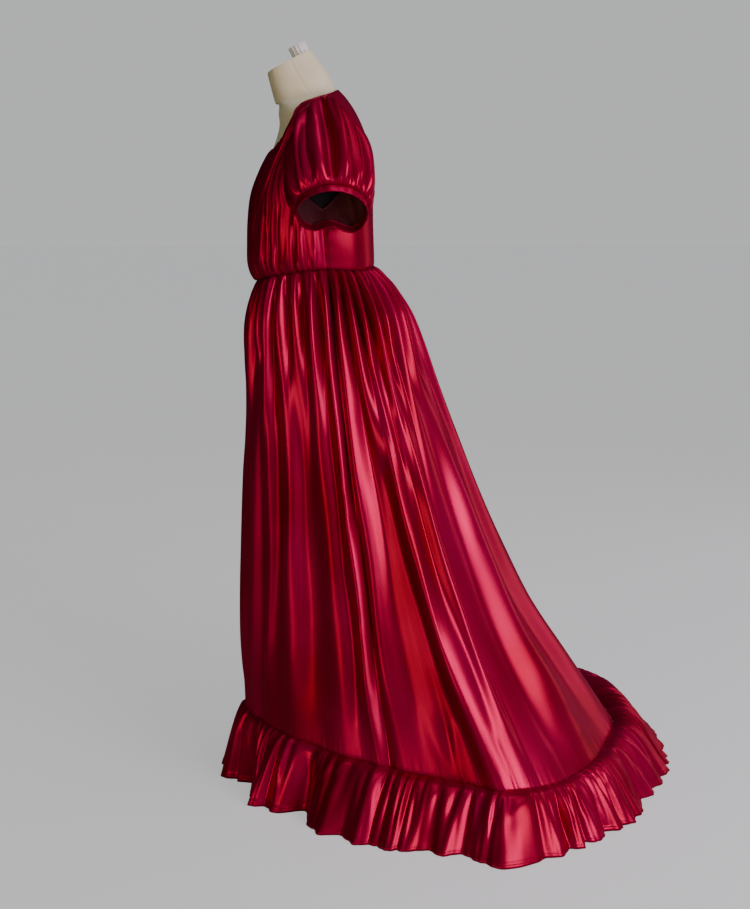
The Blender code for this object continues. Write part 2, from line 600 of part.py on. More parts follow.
# Making objects
def material(name, colour, roughness, metallic=0.0, sheen=0.0):
    made = bpy.data.materials.new(name)
    made.use_nodes = True
    shader = made.node_tree.nodes["Principled BSDF"]
    shader.inputs["Base Color"].default_value = (*colour, 1)
    shader.inputs["Roughness"].default_value = roughness
    shader.inputs["Metallic"].default_value = metallic
    shader.inputs["Sheen Weight"].default_value = sheen
    made.diffuse_color = (*colour, 1)
    return made


def new_object(name, mesh, collection, made_of):
    thing = bpy.data.objects.new(name, mesh)
    collection.objects.link(thing)
    mesh.materials.append(made_of)
    return thing


def wall(name, surface, a_values, b_values, collection, made_of, thick=WALL, closed=False, flip=False):
    """A cloth wall: a grid laid over a surface function, given its thickness on the outside."""
    columns, rows = len(a_values), len(b_values)
    mesh = bpy.data.meshes.new(name)
    grid = bmesh.new()
    bmesh.ops.create_grid(grid, x_segments=columns - 1, y_segments=rows - 1, size=0.5)
    grid.verts.ensure_lookup_table()
    places = np.array([v.co[:2] for v in grid.verts])
    a_index = np.rint((places[:, 0] + 0.5) * (columns - 1)).astype(int)
    b_index = np.rint((places[:, 1] + 0.5) * (rows - 1)).astype(int)
    points = surface(np.asarray(a_values, float)[a_index], np.asarray(b_values, float)[b_index])
    for vertex, point in zip(grid.verts, points):
        vertex.co = point
    if closed:
        bmesh.ops.remove_doubles(grid, verts=grid.verts, dist=1e-6)
    if flip:
        bmesh.ops.reverse_faces(grid, faces=grid.faces)
    grid.to_mesh(mesh)
    grid.free()
    thing = new_object(name, mesh, collection, made_of)
    thick_wall = thing.modifiers.new("Cloth thickness", "SOLIDIFY")
    thick_wall.thickness = thick
    thick_wall.offset = 1.0
    mesh.shade_smooth()
    return thing


def gather_angles(table, first, last):
    """Angles that follow the waist gathers, so that crests and valleys fall on the grid."""
    starts = np.append(column(table, GATHER_COLUMNS, "start"), 180.0)
    index = np.arange(0, (len(starts) - 1) * SKIRT_GATHER_COLUMNS + 1) / SKIRT_GATHER_COLUMNS
    angles = np.interp(index, np.arange(len(starts)), starts)
    angles = angles[(angles > first + EDGE_ROOM) & (angles < last - EDGE_ROOM)]
    return np.concatenate([[first], angles, [last]])


def ruffle_angles(first, last):
    """Angles that follow the ruffle's gathers, so that crests and valleys fall on the grid."""
    fine = np.linspace(-180, 180, 7201)
    phases = gather_phase(fine)
    low, high = np.interp([first, last], fine, phases) * RUFFLE_GATHER_COLUMNS
    between = np.arange(math.ceil(low + 0.3), math.floor(high - 0.3) + 1)
    places = np.concatenate([[low], between, [high]]) / RUFFLE_GATHER_COLUMNS
    return np.interp(places, phases, fine)


def sleeve_turns():
    """Turns round the sleeve that follow its gathers."""
    starts = np.append(column(SLEEVE_GATHERS, SLEEVE_COLUMNS, "start"), 360.0)
    count = len(SLEEVE_GATHERS)
    index = np.arange(count * SLEEVE_GATHER_COLUMNS + 1) / SLEEVE_GATHER_COLUMNS
    return np.interp(index, np.arange(count + 1), starts)


def mirrored(surface):
    """The same surface on the wearer's right."""
    return lambda a, b: surface(a, b) * np.array([-1.0, 1.0, 1.0])


def drawn_in(surface, first, last, space_at):
    """The surface with its two side edges drawn in by a distance that may change down the seam."""
    step = 0.4

    def narrower(a, b):
        space = space_at(b)
        first_width = np.linalg.norm(surface(first + step, b) - surface(first, b), axis=-1) / step
        last_width = np.linalg.norm(surface(last, b) - surface(last - step, b), axis=-1) / step
        return surface(np.clip(a, first + space / first_width, last - space / last_width), b)

    return narrower


def skirt_seam_space(fall):
    """Half the space between skirt panels, widest where the seam lies in a deep valley."""
    return SKIRT_SEAM_SPACE * (1 - 0.2 * ramp(fall, 0.2, 0.5))


def make_skirt(collection, satin):
    right = -gather_angles(RIGHT_GATHERS, 0, SIDE_SEAM)[::-1]
    left = gather_angles(LEFT_GATHERS, 0, SIDE_SEAM)
    for name, angles in (
        ("skirt_front", np.concatenate([right[:-1], left])),
        ("skirt_back_left", gather_angles(LEFT_GATHERS, SIDE_SEAM, 180)),
        ("skirt_back_right", -gather_angles(RIGHT_GATHERS, SIDE_SEAM, 180)[::-1]),
    ):
        surface = drawn_in(skirt, angles[0], angles[-1], skirt_seam_space)
        wall(name, surface, angles, SKIRT_FALLS, collection, satin, flip=True)


def make_ruffle(collection, satin):
    for name, first, last in (
        ("ruffle_front", -SIDE_SEAM, SIDE_SEAM),
        ("ruffle_back_left", SIDE_SEAM, 180),
        ("ruffle_back_right", -180, -SIDE_SEAM),
    ):
        surface = drawn_in(ruffle, first, last, lambda drop: RUFFLE_SEAM_SPACE)
        wall(name, surface, ruffle_angles(first, last), RUFFLE_DROPS, collection, satin, flip=True)


def make_bodice(collection, satin):
    across = np.linspace(-FRONT_REACH, FRONT_REACH, FRONT_COLUMNS + 1)
    wall("bodice_front", front_panel, across, BODICE_RISES, collection, satin)
    across = np.linspace(*BACK_REACH, BACK_COLUMNS + 1)
    wall("bodice_back_left", back_panel, across, BODICE_RISES, collection, satin)
    right_panel = mirrored(back_panel)
    wall("bodice_back_right", right_panel, across, BODICE_RISES, collection, satin, flip=True)


def make_sleeves(collection, satin):
    turns = sleeve_turns()
    cuff_turns = np.linspace(0, 360, CUFF_COLUMNS + 1)
    depths = (SEAM_GAP, CUFF_DEPTH / 2, CUFF_DEPTH)
    for side, puff, band, flip in (
        ("left", sleeve, cuff_ring, False),
        ("right", mirrored(sleeve), mirrored(cuff_ring), True),
    ):
        wall(f"sleeve_{side}", puff, turns, SLEEVE_LENGTHS, collection, satin, closed=True, flip=flip)
        wall(f"cuff_{side}", band, cuff_turns, depths, collection, satin, CUFF_WALL, True, flip)


def form_surface(angle, level):
    """The dress form: hips and waist, then the torso inside the gown, then the neck."""
    index = np.arange(len(GOWN_ROWS))
    room = smooth_curve(level, index, column(GOWN_ROWS, TORSO_COLUMNS, "room"))
    upper = torso(angle, level) - torso_out(angle, level) * room[..., None]
    height, half_width, front, back, widest, tilt, waist_room = TORSO_ROWS[0]
    form_waist = (height, half_width, front - waist_room, back - waist_room, widest, tilt, 0)
    below = (*HIP_ROWS, form_waist)
    lower = torso_ring(below, angle, np.clip(level + len(HIP_ROWS), 0, len(HIP_ROWS)))
    return np.where((level < 0)[..., None], lower, upper)


def make_form(collection, cloth):
    """The form's rings, from its flat underside to the flat top of its neck."""
    steps = FORM_COLUMNS
    mesh = bpy.data.meshes.new("form_body")
    shape = bmesh.new()
    angles = np.linspace(0, 360, steps, endpoint=False)
    rings = []
    for level in FORM_LEVELS:
        points = form_surface(angles, np.full(steps, float(level)))
        rings.append([shape.verts.new(point) for point in points])
    for low, high in zip(rings, rings[1:]):
        for k in range(steps):
            after = (k + 1) % steps
            shape.faces.new((low[k], low[after], high[after], high[k]))
    shape.faces.new(rings[0][::-1])
    shape.faces.new(rings[-1])
    shape.normal_update()
    shape.to_mesh(mesh)
    shape.free()
    body = new_object("form_body", mesh, collection, cloth)
    mesh.shade_smooth()
    mesh.set_sharp_from_angle(angle=math.radians(40))
    return body


def make_knob(collection, plastic):
    """The knob on the neck, standing square to its tilted top. Its ridges are pairs of corners."""
    tilt = math.radians(NECK_ROWS[-1][5])
    up = np.array([0, -math.sin(tilt), math.cos(tilt)])
    back = np.array([0, math.cos(tilt), math.sin(tilt)])
    top_ring = form_surface(np.arange(0.0, 360.0, 10.0), np.full(36, len(GOWN_ROWS) - 1.0))
    foot = top_ring.mean(axis=0) + back * KNOB_OFFSET + up * SEAM_GAP
    bpy.ops.mesh.primitive_cylinder_add(
        vertices=KNOB_RIDGES * 2, radius=KNOB_RADIUS, depth=KNOB_HEIGHT,
        location=foot + up * KNOB_HEIGHT / 2, rotation=(tilt, 0, 0),
    )
    knob = bpy.context.object
    knob.name = "form_neck_knob"
    for vertex in knob.data.vertices:
        if vertex.index // 2 % 2:
            vertex.co.x *= KNOB_GROOVE
            vertex.co.y *= KNOB_GROOVE
    place(knob, collection, plastic)


def place(thing, collection, made_of):
    """Moves a new primitive into the object's collection and gives it its material."""
    for other in list(thing.users_collection):
        other.objects.unlink(thing)
    collection.objects.link(thing)
    thing.data.name = thing.name
    thing.data.materials.append(made_of)


def make_stand(collection, metal):
    """The round base, the pole, and the collar that carries the form."""
    form_bottom = HIP_ROWS[0][0]
    collar_top = form_bottom - SEAM_GAP
    collar_low = collar_top - POLE_COLLAR_HEIGHT
    pole_low = BASE_THICKNESS + SEAM_GAP
    pole_top = collar_low - SEAM_GAP
    for name, radius, low, high in (
        ("stand_base", BASE_RADIUS, 0.0, BASE_THICKNESS),
        ("stand_pole", POLE_RADIUS, pole_low, pole_top),
        ("stand_collar", POLE_COLLAR_RADIUS, collar_low, collar_top),
    ):
        bpy.ops.mesh.primitive_cylinder_add(
            vertices=STAND_SIDES, radius=radius, depth=high - low, location=(0, 0, (low + high) / 2)
        )
        thing = bpy.context.object
        thing.name = name
        place(thing, collection, metal)


def main():
    for thing in list(bpy.data.objects):
        bpy.data.objects.remove(thing)
    collection = bpy.data.collections.new("Regency gown")
    bpy.context.scene.collection.children.link(collection)
    satin = material("Red satin", RED_SATIN, 0.36, sheen=0.2)
    make_skirt(collection, satin)
    make_ruffle(collection, satin)
    make_bodice(collection, satin)
    make_sleeves(collection, satin)
    make_form(collection, material("Cream cloth", FORM_CLOTH, 0.85))
    make_knob(collection, material("White plastic", WHITE_PLASTIC, 0.4))
    make_stand(collection, material("Dark metal", DARK_METAL, 0.45, metallic=0.6))


main()
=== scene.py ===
import math

import bmesh
import bpy
import numpy as np
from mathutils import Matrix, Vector


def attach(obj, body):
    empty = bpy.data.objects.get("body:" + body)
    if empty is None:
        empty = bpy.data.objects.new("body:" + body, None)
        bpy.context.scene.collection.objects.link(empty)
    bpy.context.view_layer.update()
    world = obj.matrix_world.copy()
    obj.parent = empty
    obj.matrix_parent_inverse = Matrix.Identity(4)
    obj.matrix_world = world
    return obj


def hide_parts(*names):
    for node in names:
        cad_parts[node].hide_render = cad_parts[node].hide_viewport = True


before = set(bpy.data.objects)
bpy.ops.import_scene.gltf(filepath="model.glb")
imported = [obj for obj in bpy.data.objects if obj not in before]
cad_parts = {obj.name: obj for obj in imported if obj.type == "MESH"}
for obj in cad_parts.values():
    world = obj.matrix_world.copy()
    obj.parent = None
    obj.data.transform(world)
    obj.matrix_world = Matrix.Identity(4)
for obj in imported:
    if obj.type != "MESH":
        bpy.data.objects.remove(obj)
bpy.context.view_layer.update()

# Regency gown on a limbless dress form. Metres, +Z up. The gown's front faces -Y, its train runs out
# to +Y, and the wearer's left is +X. Angles run round the body from the centre front: 0 is the centre
# front, 90 the left side, 180 the centre back, and the right side is negative.

# Driving dimensions
WALL = 0.0016
SEAM_GAP = 0.0003
SIDE_SEAM = 95.0
TRAIN_SWING = 0.0414
TRAIN_LENGTH = 0.615
CUFF_DEPTH = 0.015
HEM_CLEARANCE = 0.0006
POLE_RADIUS = 0.016
POLE_COLLAR_RADIUS = 0.026
POLE_COLLAR_HEIGHT = 0.045
BASE_RADIUS = 0.118
BASE_THICKNESS = 0.014
KNOB_RADIUS = 0.0175
KNOB_HEIGHT = 0.021
KNOB_RIDGES = 14
KNOB_GROOVE = 0.93
KNOB_OFFSET = 0.026

# Torso of the gown: a row for each ring, from the waist up to the neck.
# height, half width, front depth and back depth from the widest line, place of that line,
# ring tilt in degrees, and the room between the cloth and the form inside it.
TORSO_COLUMNS = ("height", "half_width", "front", "back", "widest", "tilt", "room")
TORSO_ROWS = (
    (0.995, 0.129, 0.1140, 0.1050, 0.012, 0, 0.0050),
    (1.030, 0.134, 0.1300, 0.1060, 0.012, 0, 0.0080),
    (1.070, 0.140, 0.1300, 0.1070, 0.010, 0, 0.0080),
    (1.120, 0.145, 0.1265, 0.1070, 0.008, 0, 0.0060),
    (1.165, 0.148, 0.1200, 0.1065, 0.008, 0, 0.0045),
    (1.210, 0.151, 0.1050, 0.1030, 0.010, 0, 0.0035),
    (1.250, 0.154, 0.0890, 0.0950, 0.013, 0, 0.0028),
    (1.288, 0.153, 0.0800, 0.0810, 0.015, 0, 0.0036),
    (1.316, 0.141, 0.0790, 0.0680, 0.013, 2, 0.0038),
    (1.335, 0.114, 0.0740, 0.0560, 0.009, 6, 0.0034),
    (1.345, 0.086, 0.0700, 0.0500, 0.003, 12, 0.0026),
    (1.352, 0.066, 0.0660, 0.0520, -0.006, 18, 0.0012),
)
NECK_ROWS = (
    (1.368, 0.058, 0.0590, 0.0560, -0.019, 24, 0.0012),
    (1.404, 0.051, 0.0500, 0.0500, -0.038, 27, 0.0012),
    (1.411, 0.049, 0.0475, 0.0475, -0.041, 27, 0.0012),
)
# The form below the gown's waist, in the same columns.
HIP_ROWS = (
    (0.740, 0.145, 0.0930, 0.1050, 0.008, 0, 0),
    (0.745, 0.146, 0.0960, 0.1110, 0.008, 0, 0),
    (0.800, 0.150, 0.1000, 0.1180, 0.008, 0, 0),
    (0.860, 0.142, 0.0950, 0.1100, 0.008, 0, 0),
    (0.920, 0.126, 0.0880, 0.0950, 0.008, 0, 0),
)
SQUARENESS = 0.05

# The waist seam's height at each angle.
WAIST_SEAM = (
    (0, 0.9985), (30, 1.005), (60, 1.016), (90, 1.025), (120, 1.0215), (150, 1.024), (180, 1.025),
)
# The neckline as torso rows above the waist at each angle, and the armhole as an oval in the same
# terms.
FRONT_NECKLINE = ((0, 5.75), (15, 5.8), (28, 5.95), (38, 6.3), (50, 7.1), (70, 8.65), (93, 9.35))
BACK_NECKLINE = ((93, 9.35), (115, 9.6), (150, 10.05), (180, 10.2))
SHOULDER_ANGLE = 93.0
ARMHOLE = {"half_angle": 28.0, "low_row": 3.35, "high_row": 8.6, "roundness": 0.35}
# Where the underarm comes up each panel's side, and how a panel's top is shared by neck and shoulder.
UNDERARM = 0.36
NECKLINE_SHARE = 0.78
SHOULDER_SHARE = 0.28

# The seam between skirt and ruffle: the skirt's angle at the waist, and where that line of cloth ends.
HEM_SEAM = (
    (0, 0.000, -0.1400, 0.143),
    (36, 0.062, -0.1220, 0.138),
    (55, 0.116, -0.0850, 0.131),
    (66, 0.176, -0.0350, 0.125),
    (80, 0.247, 0.0480, 0.116),
    (95, 0.302, 0.1320, 0.110),
    (102, 0.336, 0.1900, 0.106),
    (109, 0.366, 0.2450, 0.102),
    (118, 0.394, 0.2940, 0.100),
    (128, 0.415, 0.3400, 0.100),
    (141, 0.407, 0.4000, 0.100),
    (149, 0.372, 0.4560, 0.098),
    (160, 0.270, 0.5250, 0.094),
    (171, 0.135, 0.5880, 0.090),
    (180, 0.000, 0.6150, 0.088),
)
# How far the skirt stands out from the straight line between waist and hem seam.
SKIRT_PROFILE_COLUMNS = ("fall", "front", "side", "back")
SKIRT_PROFILE = (
    (0.00, 0.0000, 0.0000, 0.0000),
    (0.05, 0.0060, 0.0040, 0.0040),
    (0.10, 0.0110, 0.0070, 0.0080),
    (0.17, 0.0120, 0.0060, 0.0010),
    (0.30, 0.0130, 0.0010, -0.0110),
    (0.45, 0.0150, -0.0070, -0.0290),
    (0.60, 0.0150, -0.0130, -0.0410),
    (0.72, 0.0140, -0.0140, -0.0440),
    (0.84, 0.0100, -0.0100, -0.0280),
    (1.00, 0.0000, 0.0000, 0.0000),
)

# Gathers at the waist, a row for each: the valley that starts it, how far down it reaches as a share
# of the skirt, and its height in millimetres.
GATHER_COLUMNS = ("start", "reach", "height")
LEFT_GATHERS = (
    (0.0, 0.45, 9.0), (11.0, 0.30, 8.0), (20.0, 0.55, 10.0), (30.0, 0.25, 9.0), (42.0, 0.60, 11.0),
    (54.5, 0.40, 10.0), (65.5, 0.50, 11.0), (75.5, 0.30, 11.0), (86.0, 0.80, 13.0), (95.0, 0.75, 14.0),
    (103.0, 0.60, 14.5), (111.0, 0.22, 13.0), (119.0, 0.70, 15.0), (128.0, 0.20, 13.0),
    (137.0, 0.60, 15.0), (147.5, 0.35, 14.0), (158.5, 0.55, 14.0), (169.5, 0.35, 12.0),
)
RIGHT_GATHERS = (
    (0.0, 0.35, 8.5), (9.5, 0.55, 9.0), (19.5, 0.28, 9.5), (31.0, 0.50, 11.0), (41.0, 0.30, 10.0),
    (52.0, 0.60, 11.0), (64.0, 0.35, 11.0), (76.0, 0.55, 11.0), (85.5, 0.75, 13.0), (95.0, 0.70, 14.0),
    (104.0, 0.30, 13.0), (113.0, 0.65, 14.5), (121.5, 0.25, 13.0), (129.5, 0.70, 15.0),
    (139.5, 0.30, 13.0), (149.0, 0.60, 15.0), (160.0, 0.30, 13.0), (171.0, 0.45, 11.0),
)
# Height of the gathers down the skirt, as a share of each one's own height.
GATHER_RISE = ((0.0, 0.22), (0.02, 0.62), (0.06, 1.0), (0.16, 1.0), (0.35, 0.75), (0.6, 0.5), (1.0, 0.3))

# The broad folds below the gathers, a row for each: angle at the waist and at the hem, half width at
# the top and at the hem in degrees, height at the top and at the hem in millimetres, where it starts
# and is full as shares of the fall, and how far its crest leans towards the back.
FOLD_COLUMNS = ("top", "hem", "wide_top", "wide_hem", "high_top", "high_hem", "starts", "full", "lean")
LEFT_FOLDS = (
    (14, 16, 12, 14, 5, 8, 0.10, 0.4, 0.0),
    (33, 36, 9, 11, 4, 8, 0.10, 0.4, 0.1),
    (50, 53, 8, 9, 7, 16, 0.10, 0.4, 0.2),
    (65, 63, 7, 9, 8, 22, 0.10, 0.4, 0.2),
    (81, 79, 6, 7, 6, 11, 0.10, 0.5, 0.2),
    (89, 90.5, 5, 5, 11, 21, 0.05, 0.4, 0.4),
    (98, 99.5, 5, 5, 11, 18, 0.05, 0.4, -0.3),
    (107, 127, 8, 11, 14, 44, 0.08, 0.5, -0.2),
    (125, 135, 6, 7, 12, 20, 0.10, 0.5, 0.1),
    (156, 159, 9, 10, 14, 42, 0.10, 0.5, -0.25),
    (173.5, 173.5, 6.5, 6.5, 10, 14, 0.06, 0.4, 0.0),
)
RIGHT_FOLDS = (
    (20, 20, 12, 14, 5, 9, 0.10, 0.4, 0.1),
    (44, 43, 9, 11, 6, 13, 0.10, 0.4, 0.2),
    (66, 68, 8, 10, 8, 20, 0.10, 0.4, 0.2),
    (89, 90.5, 6, 6, 11, 20, 0.05, 0.4, 0.3),
    (98, 100, 6, 6, 11, 17, 0.05, 0.4, -0.3),
    (112, 120, 8, 10, 13, 38, 0.08, 0.5, -0.2),
    (128, 136, 7, 8, 11, 16, 0.10, 0.5, 0.1),
    (148, 151, 9, 9, 13, 36, 0.10, 0.5, -0.2),
    (166, 168, 8, 9, 11, 18, 0.10, 0.5, 0.1),
)

# The ruffle: gathers round the seam, which merge in pairs into waves at the lower edge.
RUFFLE_GATHERS = 96
RUFFLE_GATHER_HEIGHT = 0.0045
RUFFLE_WAVE_HEIGHT = 0.0130
GATHERS_EVEN_AT = 0.9
# How far the ruffle stands out at its lower edge, and how high its belly rises, by angle.
RUFFLE_COLUMNS = ("angle", "flare", "belly")
RUFFLE_ROWS = (
    (-180, 0.122, 0.038),
    (-170, 0.158, 0.048),
    (-160, 0.152, 0.042),
    (-148, 0.114, 0.022),
    (-130, 0.082, 0.010),
    (-95, 0.078, 0.008),
    (-70, 0.066, 0.008),
    (-40, 0.052, 0.008),
    (0, 0.044, 0.008),
    (40, 0.050, 0.008),
    (60, 0.056, 0.008),
    (80, 0.072, 0.008),
    (95, 0.094, 0.008),
    (112, 0.078, 0.008),
    (130, 0.077, 0.008),
    (147, 0.064, 0.010),
    (160, 0.076, 0.014),
    (170, 0.098, 0.026),
    (180, 0.122, 0.038),
)
# Deep folds in the ruffle, a row for each: angle, half width in degrees, height in millimetres.
RUFFLE_FOLDS = (
    (4, 12, 8), (26, 8, -12), (42, 15, -50), (60, 5, 18), (71, 5, -28), (80, 6, 24), (90, 5, 20),
    (100, 6, 10), (110, 5, 10), (127, 6, 12), (158, 6, 8), (-14, 9, 8), (-32, 9, -26), (-46, 7, 10),
    (-61, 6, -24), (-74, 7, 16), (-92, 6, 10), (-108, 6, 12), (-126, 7, 14), (-143, 6, 12), (-163, 6, 10),
)

# Bodice front: gathers from side seam to side seam, and their height in millimetres up the panel.
BODICE_GATHERS = 18
BODICE_GATHER_RISE = (
    (0.0, 1.2), (0.05, 5.5), (0.14, 5.5), (0.45, 4.2), (0.8, 3.4), (0.96, 2.2), (1.0, 1.0),
)

# Puff sleeve. The cuff's ring is a flattened oval with a dent under the arm and a low back lobe.
CUFF_CENTRE = (0.209, 0.0295, 1.139)
CUFF_HALF_LENGTH = 0.0630
CUFF_HALF_HEIGHT = 0.0570
CUFF_TILT = 44.0
CUFF_DENT = 0.42
CUFF_DENT_WIDTH = 26.0
CUFF_LOBE = 0.007
CUFF_LOBE_TURN = -50.0
CUFF_LOBE_WIDTH = 34.0
# Gathers round the sleeve, a row for each: the turn of the valley that starts it, from under the arm
# over the front, and its height in millimetres.
SLEEVE_COLUMNS = ("start", "height")
SLEEVE_GATHERS = (
    (0, 4), (35, 5), (68, 7), (95, 9), (121, 12), (149, 16), (182, 17), (213, 15), (232, 13), (253, 11),
    (274, 9), (296, 7), (318, 5), (340, 4),
)
SLEEVE_PUFF = 0.028
SLEEVE_UNDER_PUFF = 0.010

FORM_CLOTH = (0.72, 0.62, 0.47)
WHITE_PLASTIC = (0.85, 0.84, 0.82)

# Section of a round gather: how soft its valley is, the level of the valley and the height above it.
PIPE_SOFTNESS = 0.05
PIPE_VALLEY = 0.2236
PIPE_HEIGHT = 0.801


# Curves and tables
def column(rows, names, name):
    """One named column of a table."""
    return np.array([row[names.index(name)] for row in rows], float)


def matched(a, b):
    """Two coordinates as arrays of one shape."""
    return np.broadcast_arrays(np.asarray(a, float), np.asarray(b, float))


def smooth_curve(x, points_x, points_y, even=False):
    """A smooth curve through points. An even one is level at both ends, for half of a body."""
    px = np.asarray(points_x, float)
    py = np.asarray(points_y, float)
    before = py[1] if even else 2 * py[0] - py[1]
    after = py[-2] if even else 2 * py[-1] - py[-2]
    gx = np.concatenate([[2 * px[0] - px[1]], px, [2 * px[-1] - px[-2]]])
    gy = np.concatenate([[before], py, [after]])
    slopes = (gy[2:] - gy[:-2]) / (gx[2:] - gx[:-2])
    x = np.asarray(x, float)
    i = np.clip(np.searchsorted(px, x, side="right") - 1, 0, len(px) - 2)
    width = px[i + 1] - px[i]
    f = (x - px[i]) / width
    return (
        py[i] * (1 + 2 * f) * (1 - f) ** 2
        + slopes[i] * width * f * (1 - f) ** 2
        + py[i + 1] * f**2 * (3 - 2 * f)
        + slopes[i + 1] * width * f**2 * (f - 1)
    )


def pairs(x, table, even=False):
    """A smooth curve through a table of two columns."""
    return smooth_curve(x, [row[0] for row in table], [row[1] for row in table], even)


def ramp(x, low, high):
    """Eases from 0 at low to 1 at high."""
    f = np.clip((np.asarray(x, float) - low) / (high - low), 0, 1)
    return f * f * (3 - 2 * f)


def pipe(f):
    """Round gathers with narrow valleys at whole numbers, 0 to 1."""
    return (np.sqrt(np.sin(np.pi * f) ** 2 + PIPE_SOFTNESS) - PIPE_VALLEY) / PIPE_HEIGHT


def hump(x, lean=0.0):
    """One fold, 1 at its crest and 0 from one half width away. Lean moves the crest to one side."""
    shifted = np.clip((x - lean * (1 - np.clip(np.abs(x), 0, 1))), -1, 1)
    return 0.5 + 0.5 * np.cos(np.pi * shifted)


def stack(x, y, z):
    return np.stack(np.broadcast_arrays(x, y, z), axis=-1)


def normals_of(surface, a, b, step_a, step_b):
    """Unit normals of a surface function, from two small steps along it."""
    across = surface(a + step_a, b) - surface(a - step_a, b)
    along = surface(a, b + step_b) - surface(a, b - step_b)
    normal = np.cross(across, along)
    return normal / np.linalg.norm(normal, axis=-1, keepdims=True)


# Torso
def torso_ring(rows, angle, row):
    """A point on a torso of rings, at an angle round it and a row number up it."""
    index = np.arange(len(rows))
    at = {name: smooth_curve(row, index, column(rows, TORSO_COLUMNS, name)) for name in TORSO_COLUMNS}
    turn = np.radians(angle)
    sideways = (np.sin(turn) + SQUARENESS * np.sin(3 * turn)) / (1 - SQUARENESS)
    forwards = (np.cos(turn) - SQUARENESS * np.cos(3 * turn)) / (1 - SQUARENESS)
    depth = np.where(forwards > 0, at["front"], at["back"]) * -forwards
    tilt = np.radians(at["tilt"])
    return stack(
        at["half_width"] * sideways,
        at["widest"] + depth * np.cos(tilt),
        at["height"] + depth * np.sin(tilt),
    )


GOWN_ROWS = TORSO_ROWS + NECK_ROWS


def torso(angle, row):
    return torso_ring(GOWN_ROWS, angle, row)


def torso_out(angle, row):
    """Outward normals of the torso."""
    return normals_of(torso, np.asarray(angle, float), np.asarray(row, float), 0.5, 0.02)


def waist_row(angle):
    """The waist seam as a torso row."""
    height = pairs(np.abs(angle), WAIST_SEAM, even=True)
    return (height - TORSO_ROWS[0][0]) / (TORSO_ROWS[1][0] - TORSO_ROWS[0][0])


def armhole(turn):
    """Angle and row of the armhole's edge, a pointed oval. Turn is 0 under the arm, 180 at the
    shoulder, and less than 180 in front."""
    t = np.radians(turn)
    straight = 1 - np.abs(1 - np.asarray(turn, float) / 180)
    up = straight * (1 - ARMHOLE["roundness"]) + (0.5 - 0.5 * np.cos(t)) * ARMHOLE["roundness"]
    row = ARMHOLE["low_row"] + (ARMHOLE["high_row"] - ARMHOLE["low_row"]) * up
    return SHOULDER_ANGLE - ARMHOLE["half_angle"] * np.sin(t), row


# Skirt and ruffle
def hem_seam(angle):
    """Where each line of skirt cloth ends, without its folds."""
    angle = (np.asarray(angle, float) + 180) % 360 - 180
    side = np.abs(angle)
    angles = [row[0] for row in HEM_SEAM]
    x = smooth_curve(side, angles, [row[1] for row in HEM_SEAM]) * np.sign(angle)
    y = smooth_curve(side, angles, [row[2] for row in HEM_SEAM], even=True)
    z = smooth_curve(side, angles, [row[3] for row in HEM_SEAM], even=True)
    swing = TRAIN_SWING * (np.clip(y, 0, None) / TRAIN_LENGTH) ** 1.5
    return stack(x - swing, y, z)


def skirt_base(angle, fall):
    """The skirt without its folds. Fall is 0 at the waist seam and 1 at the hem seam."""
    angle, fall = matched(angle, fall)
    top = torso(angle, waist_row(angle))
    low = hem_seam(angle)
    toward = (low - top)[..., :2]
    flat = np.stack([np.sin(np.radians(angle)), -np.cos(np.radians(angle))], axis=-1)
    side = np.abs(angle)
    falls = column(SKIRT_PROFILE, SKIRT_PROFILE_COLUMNS, "fall")
    stand = {
        name: smooth_curve(fall, falls, column(SKIRT_PROFILE, SKIRT_PROFILE_COLUMNS, name))
        for name in SKIRT_PROFILE_COLUMNS[1:]
    }
    to_side = ramp(side, 15, 80)
    to_back = ramp(side, 105, 165)
    out = stand["front"] * (1 - to_side) + stand["side"] * to_side * (1 - to_back) + stand["back"] * to_back
    xy = top[..., :2] + toward * fall[..., None] + flat * out[..., None]
    z = top[..., 2] + (low - top)[..., 2] * fall
    return stack(xy[..., 0], xy[..., 1], z)


def gather_height(angle, fall):
    """Height of the small gathers that hang from the waist seam."""
    total = np.zeros(np.broadcast(angle, fall).shape)
    for sign, table in ((1, LEFT_GATHERS), (-1, RIGHT_GATHERS)):
        starts = column(table, GATHER_COLUMNS, "start")
        ends = np.append(starts[1:], 180.0)
        side = np.clip(np.asarray(angle, float) * sign, 0, 180)
        i = np.clip(np.searchsorted(starts, side, side="right") - 1, 0, len(starts) - 1)
        share = (side - starts[i]) / (ends[i] - starts[i])
        reach = column(table, GATHER_COLUMNS, "reach")[i]
        high = column(table, GATHER_COLUMNS, "height")[i] / 1000
        here = np.where(np.asarray(angle, float) * sign >= 0, 1.0, 0.0)
        fade = 1 - ramp(fall, 0.45 * reach, reach)
        total = total + here * high * pipe(share) * fade * pairs(fall, GATHER_RISE)
    return total


def fold_height(angle, fall):
    """Height of the broad folds that run to the hem."""
    total = np.zeros(np.broadcast(angle, fall).shape)
    for sign, table in ((1, LEFT_FOLDS), (-1, RIGHT_FOLDS)):
        for row in table:
            fold = dict(zip(FOLD_COLUMNS, row))
            centre = fold["top"] + (fold["hem"] - fold["top"]) * fall
            wide = fold["wide_top"] + (fold["wide_hem"] - fold["wide_top"]) * fall
            high = fold["high_top"] + (fold["high_hem"] - fold["high_top"]) * fall
            away = (np.asarray(angle, float) * sign - centre) / wide
            rise = ramp(fall, fold["starts"], fold["full"]) * (1 - 0.62 * ramp(fall, 0.8, 1.0))
            total = total + high / 1000 * hump(away, fold["lean"]) * rise * (np.abs(away) < 1)
    return total


def skirt_out(angle, fall):
    """Outward normals of the skirt without its folds."""
    return -normals_of(skirt_base, angle, np.clip(fall, 0.004, 0.996), 0.8, 0.004)


